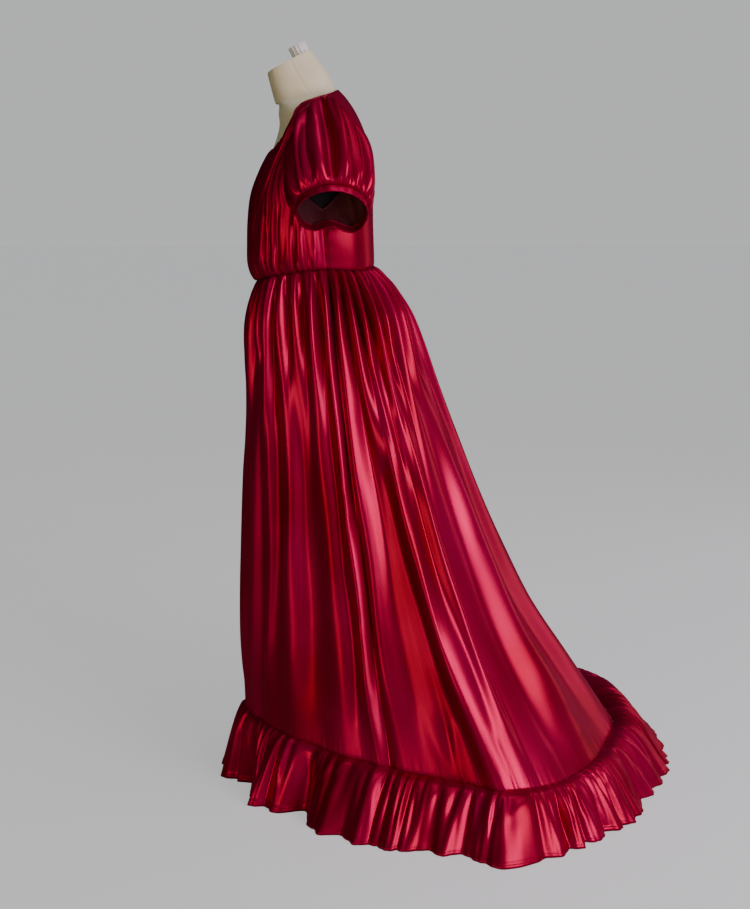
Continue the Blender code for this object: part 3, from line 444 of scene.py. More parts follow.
def skirt(angle, fall):
    """The skirt with its gathers and folds."""
    angle, fall = matched(angle, fall)
    lift = gather_height(angle, fall) + fold_height(angle, fall)
    return skirt_base(angle, fall) + skirt_out(angle, fall) * lift[..., None]


def ruffle_out(angle):
    """Unit direction out from the hem seam, level with the floor."""
    along = hem_seam(angle + 1.5) - hem_seam(angle - 1.5)
    out = np.stack([along[..., 1], -along[..., 0], np.zeros_like(along[..., 0])], axis=-1)
    return out / np.linalg.norm(out, axis=-1, keepdims=True)


def ruffle_measure(angle, name):
    """The ruffle's flare or belly at an angle."""
    angles = column(RUFFLE_ROWS, RUFFLE_COLUMNS, "angle")
    return smooth_curve(angle, angles, column(RUFFLE_ROWS, RUFFLE_COLUMNS, name))


def hem_lengths():
    """Angles round the hem and the length along the ruffle from the centre back on the right. It is
    measured partway out to the lower edge, so that the gathers stay even round the hem's corners."""
    angles = np.linspace(-180, 180, 721)
    out = ruffle_out(angles)
    points = hem_seam(angles) + out * (GATHERS_EVEN_AT * ruffle_measure(angles, "flare"))[:, None]
    steps = np.linalg.norm(np.diff(points, axis=0), axis=1)
    return angles, np.concatenate([[0], np.cumsum(steps)])


HEM_ANGLES, HEM_LENGTHS = hem_lengths()


def uneven_count(share):
    """How far the ruffle's gathers stray from an even count, as hand gathering does."""
    turn = 2 * np.pi * np.asarray(share, float)
    return 0.6 * np.sin(7 * turn + 0.8) + 0.28 * np.sin(17 * turn + 2.1) + 0.08 * np.sin(31 * turn + 4.0)


def gather_phase(angle):
    """Count of the ruffle's gathers from the centre back."""
    share = np.interp(angle, HEM_ANGLES, HEM_LENGTHS) / HEM_LENGTHS[-1]
    return RUFFLE_GATHERS * share + uneven_count(share) - uneven_count(0.0)


def ruffle(angle, drop):
    """The ruffle. Drop is 0 at the hem seam and 1 at its lower edge on the floor."""
    angle, drop = matched(angle, drop)
    seam = skirt(angle, np.ones_like(angle))
    out = ruffle_out(angle)
    flare = ruffle_measure(angle, "flare")
    belly = ruffle_measure(angle, "belly")
    phase = gather_phase(angle)
    turn = np.radians(angle)
    uneven = 1 + 0.3 * np.sin(5 * turn + 1.0) + 0.3 * np.sin(13 * turn + 0.4)
    waves = (pipe(phase / 2) - 0.6) * RUFFLE_WAVE_HEIGHT * uneven * ramp(drop, 0.0, 0.9)
    gathers_fade = ramp(drop, -0.15, 0.2) * (1 - ramp(drop, 0.3, 0.9))
    gathers = (pipe(phase) - 0.6) * RUFFLE_GATHER_HEIGHT * gathers_fade
    deep = np.zeros_like(angle)
    for centre, wide, high in RUFFLE_FOLDS:
        deep = deep + high / 1000 * hump((angle - centre) / wide) * (np.abs(angle - centre) < wide)
    spread = drop**0.72 * ramp(drop, -0.04, 0.08)
    level = flare * spread + deep * drop**1.2 + (waves + gathers) * 0.85
    lift = belly * np.sin(np.pi * drop**0.7) + (waves + gathers) * 0.5 * (1 - drop)
    z = (seam[..., 2] + lift) * (1 - drop) + HEM_CLEARANCE * drop
    return stack(seam[..., 0] + out[..., 0] * level, seam[..., 1] + out[..., 1] * level, z)


# Bodice
def panel_side(rise, back):
    """Up the side seam, then round the front or the back of the armhole."""
    up_seam = np.clip(rise / UNDERARM, 0, 1)
    turn = 180 * np.clip((rise - UNDERARM) / (1 - UNDERARM), 0, 1)
    hole_angle, hole_row = armhole(360 - turn if back else turn)
    start = waist_row(SIDE_SEAM)
    on_seam = rise < UNDERARM
    angle = np.where(on_seam, SIDE_SEAM + (SHOULDER_ANGLE - SIDE_SEAM) * up_seam, hole_angle)
    return angle, np.where(on_seam, start + (ARMHOLE["low_row"] - start) * up_seam, hole_row)


def panel_row(low_row, high_row, side_row, corner_rows, rise, near_side):
    """Rows of a panel: from its lower to its upper edge, eased to fit the side seam and the armhole."""
    straight = corner_rows[0] * (1 - rise) + corner_rows[1] * rise
    return low_row * (1 - rise) + high_row * rise + near_side**2 * (side_row - straight)


def front_panel(across, rise):
    """The bodice front. Across runs from -1 at the right side seam to 1 at the left one."""
    across, rise = matched(across, rise)
    side = np.abs(across)
    side_angle, side_row = panel_side(rise, back=False)
    along_neck = np.clip(side / NECKLINE_SHARE, 0, 1)
    down_shoulder = np.clip((side - NECKLINE_SHARE) / (1 - NECKLINE_SHARE), 0, 1)
    shoulder_row = FRONT_NECKLINE[-1][1] + (ARMHOLE["high_row"] - FRONT_NECKLINE[-1][1]) * down_shoulder
    neck_row = pairs(SHOULDER_ANGLE * along_neck, FRONT_NECKLINE)
    high_row = np.where(side < NECKLINE_SHARE, neck_row, shoulder_row)
    spread = rise**3
    edge_angle = SHOULDER_ANGLE + (side_angle - SHOULDER_ANGLE) * ramp(side, 0.3, 0.9)
    angle = edge_angle * (side * (1 - spread) + along_neck * spread)
    corners = (waist_row(SIDE_SEAM), ARMHOLE["high_row"])
    row = panel_row(waist_row(SIDE_SEAM * side), high_row, side_row, corners, rise, side)
    angle = angle * np.sign(across)
    phase = (across + 1) / 2 * BODICE_GATHERS + 0.25 * np.sin(9 * across + 1) + 0.2 * np.sin(23 * across)
    smooth_below = ramp(side, 0.88, 0.97)
    smooth_above = ramp(side, 0.48, 0.66) * ramp(rise, 0.12, 0.40)
    high = pairs(rise, BODICE_GATHER_RISE) / 1000 * (1 - np.maximum(smooth_below, smooth_above))
    return torso(angle, row) + torso_out(angle, row) * (pipe(phase) * high)[..., None]


def back_panel(across, rise):
    """A plain back half. Across is 0 at the side seam and 1 at the centre back."""
    across, rise = matched(across, rise)
    side_angle, side_row = panel_side(rise, back=True)
    up_shoulder = np.clip(across / SHOULDER_SHARE, 0, 1)
    along_neck = np.clip((across - SHOULDER_SHARE) / (1 - SHOULDER_SHARE), 0, 1)
    neck_row = pairs(SHOULDER_ANGLE + (180 - SHOULDER_ANGLE) * along_neck, BACK_NECKLINE)
    shoulder_row = ARMHOLE["high_row"] + (BACK_NECKLINE[0][1] - ARMHOLE["high_row"]) * up_shoulder
    high_row = np.where(across < SHOULDER_SHARE, shoulder_row, neck_row)
    spread = rise**3
    angle = side_angle + (180 - side_angle) * (across * (1 - spread) + along_neck * spread)
    corners = (waist_row(SIDE_SEAM), ARMHOLE["high_row"])
    low_row = waist_row(SIDE_SEAM + (180 - SIDE_SEAM) * across)
    row = panel_row(low_row, high_row, side_row, corners, rise, 1 - across)
    return torso(angle, row)


# Sleeves
def cuff_ring(turn, along):
    """A point of the cuff's ring. Turn is 0 under the arm and 180 on top, along is metres past it."""
    t = np.radians(turn)
    tilt = math.radians(CUFF_TILT)
    up = np.array([math.cos(tilt), 0, math.sin(tilt)])
    out = np.array([math.sin(tilt), 0, -math.cos(tilt)])
    away = (np.asarray(turn, float) + 180) % 360 - 180
    dent = 1 - CUFF_DENT * np.exp(-((away / CUFF_DENT_WIDTH) ** 2))
    lobe = CUFF_LOBE * np.exp(-(((away - CUFF_LOBE_TURN) / CUFF_LOBE_WIDTH) ** 2))
    high = -np.cos(t) * CUFF_HALF_HEIGHT * dent - lobe
    back = -np.sin(t) * CUFF_HALF_LENGTH
    centre = np.array(CUFF_CENTRE)
    return (
        centre
        + up * high[..., None]
        + np.array([0, 1, 0]) * back[..., None]
        + out * np.asarray(along, float)[..., None]
    )


def sleeve(turn, length):
    """The puff sleeve on the left. Length is 0 at the armhole and 1 at the cuff."""
    turn, length = matched(turn, length)
    angle, row = armhole(turn)
    start = torso(angle, row) + torso_out(angle, row) * (WALL + SEAM_GAP + 0.0002)
    end = cuff_ring(turn, np.full(turn.shape, -SEAM_GAP))
    share = ramp(length, -0.35, 1.12)
    share = (share - ramp(0.0, -0.35, 1.12)) / (ramp(1.0, -0.35, 1.12) - ramp(0.0, -0.35, 1.12))
    middle_start = torso(SHOULDER_ANGLE, (ARMHOLE["low_row"] + ARMHOLE["high_row"]) / 2)
    axis_point = middle_start + (np.array(CUFF_CENTRE) - middle_start) * share[..., None]
    line = start + (end - start) * share[..., None]
    away = line - axis_point
    away = away / np.linalg.norm(away, axis=-1, keepdims=True)
    top = 0.5 - 0.5 * np.cos(np.radians(turn))
    puff = SLEEVE_UNDER_PUFF + (SLEEVE_PUFF - SLEEVE_UNDER_PUFF) * top
    swell = np.sin(np.pi * np.clip(length, 0, 1) ** 0.85) ** 0.75
    lift_out = np.array([0.45, 0, 0.55]) * (top * 0.014 * swell)[..., None]
    starts = np.append(column(SLEEVE_GATHERS, SLEEVE_COLUMNS, "start"), 360.0)
    i = np.clip(np.searchsorted(starts, turn, side="right") - 1, 0, len(SLEEVE_GATHERS) - 1)
    high = column(SLEEVE_GATHERS, SLEEVE_COLUMNS, "height")[i] / 1000
    ridge = (pipe((turn - starts[i]) / (starts[i + 1] - starts[i])) - 0.65) * high
    rise = 0.12 + 0.88 * ramp(length, 0, 0.3) * (1 - ramp(length, 0.75, 1.0))
    return line + away * (puff * swell + ridge * rise)[..., None] + lift_out


def mirrored(surface):
    """The same surface on the wearer's right."""
    return lambda a, b: surface(a, b) * np.array([-1.0, 1.0, 1.0])


def drawn_in(surface, first, last):
    """The surface with its two side edges drawn in a little, so that neighbours nearly touch."""
    step = 0.4

    def narrower(a, b):
        first_width = np.linalg.norm(surface(first + step, b) - surface(first, b), axis=-1) / step
        last_width = np.linalg.norm(surface(last, b) - surface(last - step, b), axis=-1) / step
        return surface(np.clip(a, first + SEAM_CLOSE / first_width, last - SEAM_CLOSE / last_width), b)

    return narrower


def form_surface(angle, level):
    """The dress form: hips and waist, then the torso inside the gown, then the neck."""
    index = np.arange(len(GOWN_ROWS))
    room = smooth_curve(level, index, column(GOWN_ROWS, TORSO_COLUMNS, "room"))
    upper = torso(angle, level) - torso_out(angle, level) * room[..., None]
    height, half_width, front, back, widest, tilt, waist_room = TORSO_ROWS[0]
    form_waist = (height, half_width, front - waist_room, back - waist_room, widest, tilt, 0)
    below = (*HIP_ROWS, form_waist)
    lower = torso_ring(below, angle, np.clip(level + len(HIP_ROWS), 0, len(HIP_ROWS)))
    return np.where((level < 0)[..., None], lower, upper)


# Finer form of the satin, laid over the same surfaces
CLOTH = 0.0007
CLOTH_OUT = WALL - CLOTH
SEAM_CLOSE = 0.00003
SEAM_GROOVE = 0.0016
SEAM_GROOVE_WIDTH = 0.0035
WAIST_FINE_HEIGHT = 0.0042
HEM_PUCKER_HEIGHT = 0.0009
BODICE_FINE_HEIGHT = 0.0075
NECK_FINE_HEIGHT = 0.0016
DRAG_HEIGHT = 0.0009
SIDE_DRAG_HEIGHT = 0.0007
SIDE_PUCKER_HEIGHT = 0.0006
SLEEVE_HEAD_HEIGHT = 0.0055
SLEEVE_FINE_HEIGHT = 0.0021
RUFFLE_HEAD_HEIGHT = 0.0020
RUFFLE_FINE_HEIGHT = 0.0024
RUFFLE_EVEN_HEIGHT = 0.0016
# The hem's turned edge, and how far the ruffle's head is tucked in and up under the skirt's hem.
HEM_FOLD_HEIGHT = 0.0005
TUCKED_IN = 0.0014
TUCKED_UP = 0.0022

# Creases of the skirt, a row for each: angle and fall of its two ends, half width in degrees,
# height in millimetres (a trough is negative), and how sharp its line is.
SKIRT_CREASES = (
    (6, 0.01, 9, 0.22, 2.5, 4, 1.0), (14, 0.02, 12, 0.42, 3.0, -4, 1.0),
    (24, 0.01, 26, 0.30, 2.5, 5, 1.0), (33, 0.03, 31, 0.55, 3.0, -5, 1.0),
    (40, 0.02, 46, 0.37, 2.6, 5, 1.3), (52, 0.02, 47, 0.37, 2.6, 6, 1.3),
    (57, 0.03, 57, 0.56, 2.6, -5, 1.0), (63, 0.10, 62.5, 0.97, 2.2, 5, 1.4),
    (70, 0.05, 73, 0.74, 3.2, -6, 1.0), (77, 0.03, 79, 0.48, 2.4, 5, 1.2),
    (83, 0.01, 82.7, 0.34, 2.0, 6, 1.4), (86.2, 0.08, 87, 0.93, 2.0, -5, 1.2),
    (88.2, 0.38, 91.2, 0.46, 1.0, 9, 1.2), (91.2, 0.49, 88.0, 0.57, 1.0, 9, 1.2),
    (87.2, 0.59, 91.0, 0.69, 1.1, 10, 1.2), (91.3, 0.71, 88.4, 0.79, 1.0, 8, 1.2),
    (97.2, 0.06, 97.4, 0.88, 1.6, 6, 1.5), (101.6, 0.26, 102.4, 0.66, 2.0, -6, 1.0),
    (104, 0.04, 108.4, 0.42, 2.0, 6, 1.4), (108.6, 0.02, 111.5, 0.24, 1.8, -5, 1.0),
    (112.5, 0.10, 121.5, 0.48, 2.2, 7, 1.4), (118.5, 0.22, 123, 0.49, 1.9, 5, 1.4),
    (124, 0.04, 124.5, 0.30, 2.0, 6, 1.3), (130, 0.02, 129, 0.24, 2.0, -6, 1.0),
    (136, 0.06, 134.5, 0.44, 2.4, 6, 1.4), (149.5, 0.10, 152.5, 0.94, 5.5, -13, 1.0),
    (151, 0.02, 153.5, 0.28, 2.4, 6, 1.3), (159, 0.16, 158.5, 0.90, 2.6, 6, 1.5),
    (166, 0.02, 167.5, 0.34, 2.4, -5, 1.0), (173, 0.03, 170, 0.38, 2.6, 6, 1.2),
    (105.8, 0.86, 109.2, 0.995, 1.5, 4, 1.2), (109.7, 0.78, 109.4, 0.998, 1.2, -6, 1.2),
    (113.5, 0.88, 110.6, 0.995, 1.4, 4, 1.2), (128.4, 0.90, 128.8, 0.998, 1.3, -4, 1.2),
    (131.5, 0.88, 129.8, 0.995, 1.5, 3, 1.2), (149.8, 0.84, 149.6, 0.998, 1.5, -7, 1.2),
    (152.8, 0.88, 150.8, 0.995, 1.5, 3, 1.2), (92.6, 0.86, 93.4, 0.998, 1.0, -4, 1.2),
    (75, 0.93, 74.5, 0.998, 1.6, -3, 1.0), (58, 0.94, 57.5, 0.998, 1.6, -3, 1.0),
    (40, 0.80, 38, 0.998, 2.4, -4, 1.0), (119.5, 0.55, 121, 0.74, 2.2, -3, 1.0),
    (84.5, 0.56, 85.5, 0.84, 1.5, 3, 1.0), (163, 0.60, 170, 0.99, 2.4, -3, 1.0),
    (172.5, 0.72, 176, 0.99, 2.8, 4, 1.0), (-5, 0.02, -8, 0.36, 2.6, 4, 1.0),
    (-15, 0.01, -13, 0.24, 2.4, 5, 1.0), (-25, 0.02, -27, 0.50, 3.0, -5, 1.0),
    (-34, 0.02, -38, 0.33, 2.4, 5, 1.3), (-46, 0.02, -40, 0.34, 2.4, 5, 1.3),
    (-55, 0.04, -56, 0.72, 3.0, -6, 1.0), (-61, 0.02, -65, 0.44, 2.2, 6, 1.4),
    (-70, 0.14, -69, 0.94, 2.4, 5, 1.4), (-76.5, 0.02, -76, 0.52, 2.4, -5, 1.0),
    (-83, 0.03, -84, 0.40, 2.2, 6, 1.3), (-88, 0.44, -91, 0.52, 1.1, 3, 1.2),
    (-91.2, 0.57, -88.2, 0.66, 1.2, 4, 1.2), (-88, 0.72, -90.8, 0.80, 1.2, 3, 1.2),
    (-98, 0.08, -98.6, 0.86, 1.8, 6, 1.5), (-104, 0.03, -103, 0.55, 2.2, -6, 1.0),
    (-110, 0.02, -116, 0.44, 2.2, 7, 1.4), (-120, 0.12, -117, 0.46, 2.0, 5, 1.4),
    (-126, 0.02, -125, 0.30, 2.0, -6, 1.0), (-132, 0.10, -136.5, 0.80, 2.4, 6, 1.5),
    (-141, 0.05, -143, 0.60, 2.8, -7, 1.0), (-149, 0.03, -150.5, 0.92, 2.6, 6, 1.5),
    (-157, 0.02, -158, 0.40, 2.4, -6, 1.0), (-164, 0.03, -167, 0.52, 2.4, 6, 1.3),
    (-174, 0.02, -176, 0.30, 2.4, -5, 1.0), (-93, 0.86, -93.2, 0.998, 1.0, -4, 1.2),
    (-112.5, 0.84, -112, 0.998, 1.4, -6, 1.2), (-109, 0.88, -111, 0.995, 1.4, 3, 1.2),
    (-130, 0.88, -130.5, 0.998, 1.4, -5, 1.2), (-144, 0.86, -143.5, 0.998, 1.4, -6, 1.2),
    (-162, 0.88, -162, 0.998, 1.6, -5, 1.2), (-60, 0.92, -59, 0.998, 1.8, -4, 1.0),
    (-32, 0.84, -31, 0.998, 2.2, -4, 1.0), (-76, 0.90, -75, 0.998, 1.6, -4, 1.0),
    (-12, 0.86, -12, 0.998, 2.4, -3, 1.0), (11, 0.90, 12, 0.998, 2.4, -3, 1.0),
)
# Creases of the bodice front: place across and rise of the two ends, half width across, then the same.
BODICE_CREASES = (
    (0.10, 0.03, 0.20, 0.97, 0.020, 2.2, 1.3), (0.05, 0.02, 0.08, 0.62, 0.018, 1.8, 1.2),
    (0.20, 0.02, 0.33, 0.90, 0.022, 2.6, 1.4), (0.30, 0.02, 0.46, 0.95, 0.020, 2.4, 1.4),
    (0.26, 0.10, 0.36, 0.55, 0.016, -2.0, 1.0), (0.41, 0.02, 0.55, 0.80, 0.022, 2.8, 1.4),
    (0.36, 0.05, 0.50, 0.70, 0.016, -2.2, 1.0), (0.52, 0.02, 0.62, 0.66, 0.020, 2.6, 1.4),
    (0.47, 0.03, 0.58, 0.42, 0.015, -2.2, 1.0), (0.62, 0.02, 0.68, 0.50, 0.020, 2.6, 1.3),
    (0.57, 0.02, 0.63, 0.30, 0.014, -2.0, 1.0), (0.71, 0.02, 0.74, 0.38, 0.020, 2.6, 1.3),
    (0.80, 0.02, 0.83, 0.28, 0.020, 2.4, 1.2), (0.66, 0.02, 0.70, 0.22, 0.012, -2.0, 1.0),
    (0.76, 0.02, 0.79, 0.20, 0.012, -2.0, 1.0), (0.90, 0.02, 0.92, 0.24, 0.016, 1.8, 1.2),
    (0.94, 0.10, 0.90, 0.40, 0.014, 1.4, 1.0), (0.62, 0.55, 0.74, 0.86, 0.018, 1.6, 1.2),
    (-0.08, 0.03, -0.16, 0.97, 0.020, 2.2, 1.3), (-0.17, 0.02, -0.29, 0.70, 0.018, 2.4, 1.3),
    (-0.25, 0.02, -0.40, 0.95, 0.022, 2.6, 1.4), (-0.35, 0.02, -0.48, 0.88, 0.020, 2.4, 1.4),
    (-0.31, 0.06, -0.42, 0.60, 0.016, -2.0, 1.0), (-0.46, 0.02, -0.59, 0.72, 0.022, 2.8, 1.4),
    (-0.41, 0.04, -0.53, 0.50, 0.015, -2.2, 1.0), (-0.56, 0.02, -0.65, 0.56, 0.020, 2.6, 1.3),
    (-0.67, 0.02, -0.72, 0.40, 0.020, 2.6, 1.3), (-0.61, 0.02, -0.66, 0.26, 0.013, -2.0, 1.0),
    (-0.77, 0.02, -0.80, 0.32, 0.020, 2.4, 1.2), (-0.72, 0.02, -0.75, 0.20, 0.012, -2.0, 1.0),
    (-0.88, 0.02, -0.90, 0.24, 0.016, 2.0, 1.2), (-0.94, 0.08, -0.91, 0.36, 0.014, 1.4, 1.0),
)
# Creases of a sleeve: turn and length of the two ends, then the same.
SLEEVE_CREASES = (
    (20, 0.55, 35, 0.97, 6, 2.0, 1.0), (48, 0.45, 60, 0.98, 6, 2.5, 1.2),
    (80, 0.40, 84, 0.98, 6, 3.0, 1.2), (100, 0.08, 106, 0.55, 6, 2.5, 1.2),
    (109, 0.50, 116, 0.98, 5, 3.0, 1.3), (128, 0.04, 132, 0.50, 6, 3.0, 1.2),
    (141, 0.30, 139, 0.97, 5, -5.0, 1.0), (152, 0.10, 150, 0.80, 5, 4.5, 1.3),
    (160, 0.03, 166, 0.42, 4, 3.0, 1.3), (174, 0.04, 178, 0.93, 8, -12.0, 1.0),
    (190, 0.04, 192, 0.52, 4, 4.0, 1.3), (197, 0.03, 200, 0.94, 4, 3.5, 1.4),
    (206, 0.30, 205, 0.97, 3.5, -3.0, 1.0), (213, 0.06, 210, 0.88, 4, 3.5, 1.4),
    (222, 0.10, 224, 0.95, 5, -6.5, 1.0), (232, 0.04, 236, 0.60, 5, 3.0, 1.3),
    (246, 0.18, 243, 0.97, 5, 3.5, 1.4), (262, 0.06, 258, 0.55, 5, 2.5, 1.2),
    (268, 0.50, 262, 0.98, 4, -2.5, 1.0), (280, 0.46, 273, 0.97, 5, 3.0, 1.2),
    (300, 0.50, 290, 0.97, 6, 2.5, 1.2), (322, 0.58, 315, 0.97, 6, 2.0, 1.0),
    (340, 0.55, 338, 0.97, 6, 2.0, 1.0), (236, 0.82, 262, 0.70, 3.5, 2.4, 1.2),
    (250, 0.90, 276, 0.78, 3.5, 2.2, 1.2), (268, 0.84, 292, 0.74, 3.5, 2.0, 1.2),
)


def crease_height(table, a, b, widening=0.0):
    """Height of listed creases, each a soft ridge or trough along a slightly bowed line."""
    total = np.zeros(np.broadcast(a, b).shape)
    for number, (a_1, b_1, a_2, b_2, wide, high, sharp) in enumerate(table):
        # A crease is followed down the cloth, or across it where it lies nearly level.
        along_b = abs(b_2 - b_1) * 30 > abs(a_2 - a_1) * 0.2 or abs(b_2 - b_1) > 0.15
        share = (b - b_1) / (b_2 - b_1) if along_b else (a - a_1) / (a_2 - a_1)
        inside = np.clip(share, 0, 1)
        bow = wide * 0.6 * np.sin(np.pi * inside) * (1 if number % 2 else -1)
        across = (a - a_1 - (a_2 - a_1) * inside - bow) / (wide * (1 + widening * b))
        ends = np.sin(np.pi * inside) ** 0.55 * (share > 0) * (share < 1)
        total = total + high / 1000 * ends * np.exp(-np.abs(across) ** (2 - 0.6 * (sharp - 1)) * 1.4)
    return total


def seam_groove(distance):
    """How far cloth dips beside a sewn seam."""
    return SEAM_GROOVE * np.exp(-((distance / SEAM_GROOVE_WIDTH) ** 2))


def side_grooves(angle, wide):
    """Grooves at the seams that run down skirt and ruffle. Wide is metres to a degree."""
    return sum(seam_groove(np.abs(angle - seam) * wide) for seam in (-180.0, -SIDE_SEAM, SIDE_SEAM, 180.0))


def wander(angle, fall):
    """How far folds stray sideways as they fall, in degrees."""
    stray = 0.45 * np.sin(8.5 * fall + 0.13 * angle) + 0.3 * np.sin(19.0 * fall + 0.31 * angle + 1.0)
    return stray * ramp(fall, 0.0, 0.15) * (1 - ramp(fall, 0.88, 1.0))


def fine_gathers(angle, fall):
    """Tight gathers just under the waist seam, two or three on each larger one."""
    count = angle / 3.3 + 0.8 * np.sin(0.12 * angle) + 0.35 * np.sin(0.43 * angle + 1.0)
    uneven = 0.65 + 0.35 * np.sin(1.9 * count + 0.7)
    long_one = 0.5 + 0.5 * np.sin(0.83 * count + 2.0)
    fade = ramp(fall, 0.0, 0.010) * (1 - ramp(fall, 0.015 + 0.03 * long_one, 0.04 + 0.06 * long_one))
    return WAIST_FINE_HEIGHT * (pipe(count) - 0.5) * uneven * fade


def seam_tick(angle, fall):
    """Small puckers along the hem seam of the skirt."""
    count = angle * 0.62 + 1.1 * np.sin(0.09 * angle) + 0.5 * np.sin(0.37 * angle + 0.4)
    uneven = 0.5 + 0.5 * np.sin(2.3 * count + 1.2)
    return HEM_PUCKER_HEIGHT * np.sin(2 * np.pi * count) * uneven * ramp(fall, 0.955, 0.995)


def skirt_cloth(angle, fall):
    """The skirt's satin, with its single creases, fine gathers and seam grooves."""
    angle, fall = matched(angle, fall)
    to_centre_back = ramp(180 - np.abs(angle), 0.0, 3.0)
    strayed = angle + wander(angle, fall) * to_centre_back
    gathers = gather_height(strayed, fall)
    lift = gathers * (1 - 0.5 * ramp(fall, 0.12, 0.32)) + fold_height(strayed, fall)
    crease_share = 0.85 - 0.55 * ramp(fall, 0.18, 0.5) + 0.35 * ramp(fall, 0.84, 0.94)
    lift = lift + crease_height(SKIRT_CREASES, angle, fall, 0.8) * crease_share * to_centre_back
    lift = lift + 0.4 * (gathers - 0.006) * (1 - ramp(fall, 0.08, 0.26))
    lift = lift + (fine_gathers(angle, fall) + seam_tick(angle, fall)) * to_centre_back
    lift = lift - side_grooves(angle, 0.0023 + 0.0040 * fall)
    lift = lift - seam_groove((1 - fall) * 0.95) - 0.6 * seam_groove(fall * 0.95)
    return skirt_base(angle, fall) + skirt_out(angle, fall) * (lift + CLOTH_OUT)[..., None]


def ruffle_creases(phase, drop):
    """Creases in the ruffle: some run down a wave, others slant across it."""
    total = np.zeros(np.broadcast(phase, drop).shape)
    for number in range(-2, RUFFLE_GATHERS + 3):
        first = 0.5 + 0.5 * math.sin(12.9 * number + 1.0)
        second = 0.5 + 0.5 * math.sin(7.7 * number + 2.3)
        third = 0.5 + 0.5 * math.sin(4.3 * number + 0.2)
        start = 0.02 + 0.1 * first
        end = 0.35 + 0.6 * second
        share = np.clip((drop - start) / (end - start), 0, 1)
        centre = number + 0.25 + 0.5 * first + (second - 0.5) * 1.3 * share
        across = (phase - centre) / (0.13 + 0.16 * third * (0.4 + share))
        high = (0.0012 + 0.0024 * third) * (1 if number % 3 else -1)
        near = np.abs(across) < 3
        total = total + high * np.sin(np.pi * share) ** 0.7 * np.exp(-(across**2)) * near
    return total


def ruffle_cloth(angle, drop):
    """The ruffle's satin, gathered under the skirt's hem seam and hemmed where it lies on the floor."""
    angle, drop = matched(angle, drop)
    out = ruffle_out(angle)
    phase = gather_phase(angle)
    uneven = 0.6 + 0.4 * np.sin(0.9 * phase + 1.3)
    head = RUFFLE_HEAD_HEIGHT * (pipe(2 * phase + 0.4 * np.sin(1.7 * phase)) - 0.5)
    head = head * uneven * (1 - ramp(drop, 0.06, 0.42))
    even = RUFFLE_EVEN_HEIGHT * (pipe(phase) - 0.5) * uneven * (1 - ramp(drop, 0.2, 0.8))
    fine = RUFFLE_FINE_HEIGHT * (pipe(1.5 * phase + 0.3 * np.sin(0.8 * phase)) - 0.5) * ramp(drop, 0.0, 0.25)
    creases = 1.3 * ruffle_creases(phase, drop) * (1 - 0.5 * ramp(drop, 0.7, 1))
    edge = 0.0016 * np.sin(2.1 * phase) * ramp(drop, 0.6, 1.0)
    edge = edge + 0.0012 * np.sin(5.3 * phase + 1) * ramp(drop, 0.8, 1)
    extra = head + even + fine + creases + edge
    extra = extra * ramp(180 - np.abs(angle), 0.0, 2.0)
    extra = extra - seam_groove(drop * 0.13) * 0.8
    extra = extra - 0.6 * side_grooves(angle, 0.0062)
    hemmed = HEM_FOLD_HEIGHT * ramp(drop, 0.905, 0.915)
    tucked = 1 - ramp(drop, 0.0, 0.015)
    points = ruffle(angle, drop)
    level = extra * 0.85 + hemmed + CLOTH_OUT - TUCKED_IN * tucked
    moved = points[..., :2] + out[..., :2] * level[..., None]
    z = points[..., 2] + (extra * 0.35 + CLOTH_OUT) * (1 - drop) + TUCKED_UP * tucked
    return stack(moved[..., 0], moved[..., 1], z)


def bodice_cloth(across, rise):
    """The bodice front's satin, with fine gathers at the waist and at the neck."""
    across, rise = matched(across, rise)
    points = front_panel(across, rise)
    out = normals_of(front_panel, np.clip(across, -0.99, 0.99), np.clip(rise, 0.01, 0.99), 0.012, 0.01)
    side = np.abs(across)
    count = 15 * across + 0.7 * np.sin(8 * across) + 0.35 * np.sin(21 * across + 1)
    uneven = 0.6 + 0.4 * np.sin(2.3 * count + 0.6)
    reach = 0.16 + 0.10 * np.sin(3.1 * count)
    low = (1 - ramp(rise, 0.03, reach)) * (1 - ramp(side, 0.86, 0.96)) * ramp(rise, -0.01, 0.03)
    top = ramp(rise, 0.86, 0.97) * (1 - ramp(side, 0.3, 0.5))
    fine = BODICE_FINE_HEIGHT * (pipe(count) - 0.5) * low
    fine = fine + NECK_FINE_HEIGHT * (pipe(2.6 * count) - 0.5) * top
    creases = 0.50 * crease_height(BODICE_CREASES, across, rise, 0.7) * (1 - ramp(rise, 0.93, 1.0))
    lift = fine * uneven + creases
    lift = lift - seam_groove((1 - side) * 0.21) * ramp(rise, 0, 0.05) * 0.7
    lift = lift - seam_groove(rise * 0.3) * 0.9
    return points + out * (lift + CLOTH_OUT)[..., None]


def back_cloth(across, rise):
    """A back half's satin: plain, with faint drag lines from the side seam and the armhole."""
    across, rise = matched(across, rise)
    points = back_panel(across, rise)
    out = normals_of(back_panel, np.clip(across, 0.01, 0.985), np.clip(rise, 0.01, 0.99), 0.012, 0.01)
    drag = DRAG_HEIGHT * np.sin(9 * rise + 5 * across + 0.6)
    drag = drag * ramp(rise, 0.05, 0.25) * (1 - ramp(rise, 0.8, 0.95))
    beside = np.exp(-(((across - 0.25 - 0.5 * rise) / 0.08) ** 2)) * (1 - ramp(rise, 0.3, 0.6))
    drag = drag + SIDE_DRAG_HEIGHT * beside
    pucker = SIDE_PUCKER_HEIGHT * np.sin(70 * rise) * np.exp(-((across / 0.06) ** 2)) * (rise < UNDERARM)
    lift = drag + pucker - seam_groove(across * 0.15) * (1 - ramp(rise, 0.3, 0.4)) * 0.7
    lift = lift - seam_groove((1 - across) * 0.15) * 0.6 - seam_groove(rise * 0.3) * 0.9
    return points + out * (lift + CLOTH_OUT)[..., None]


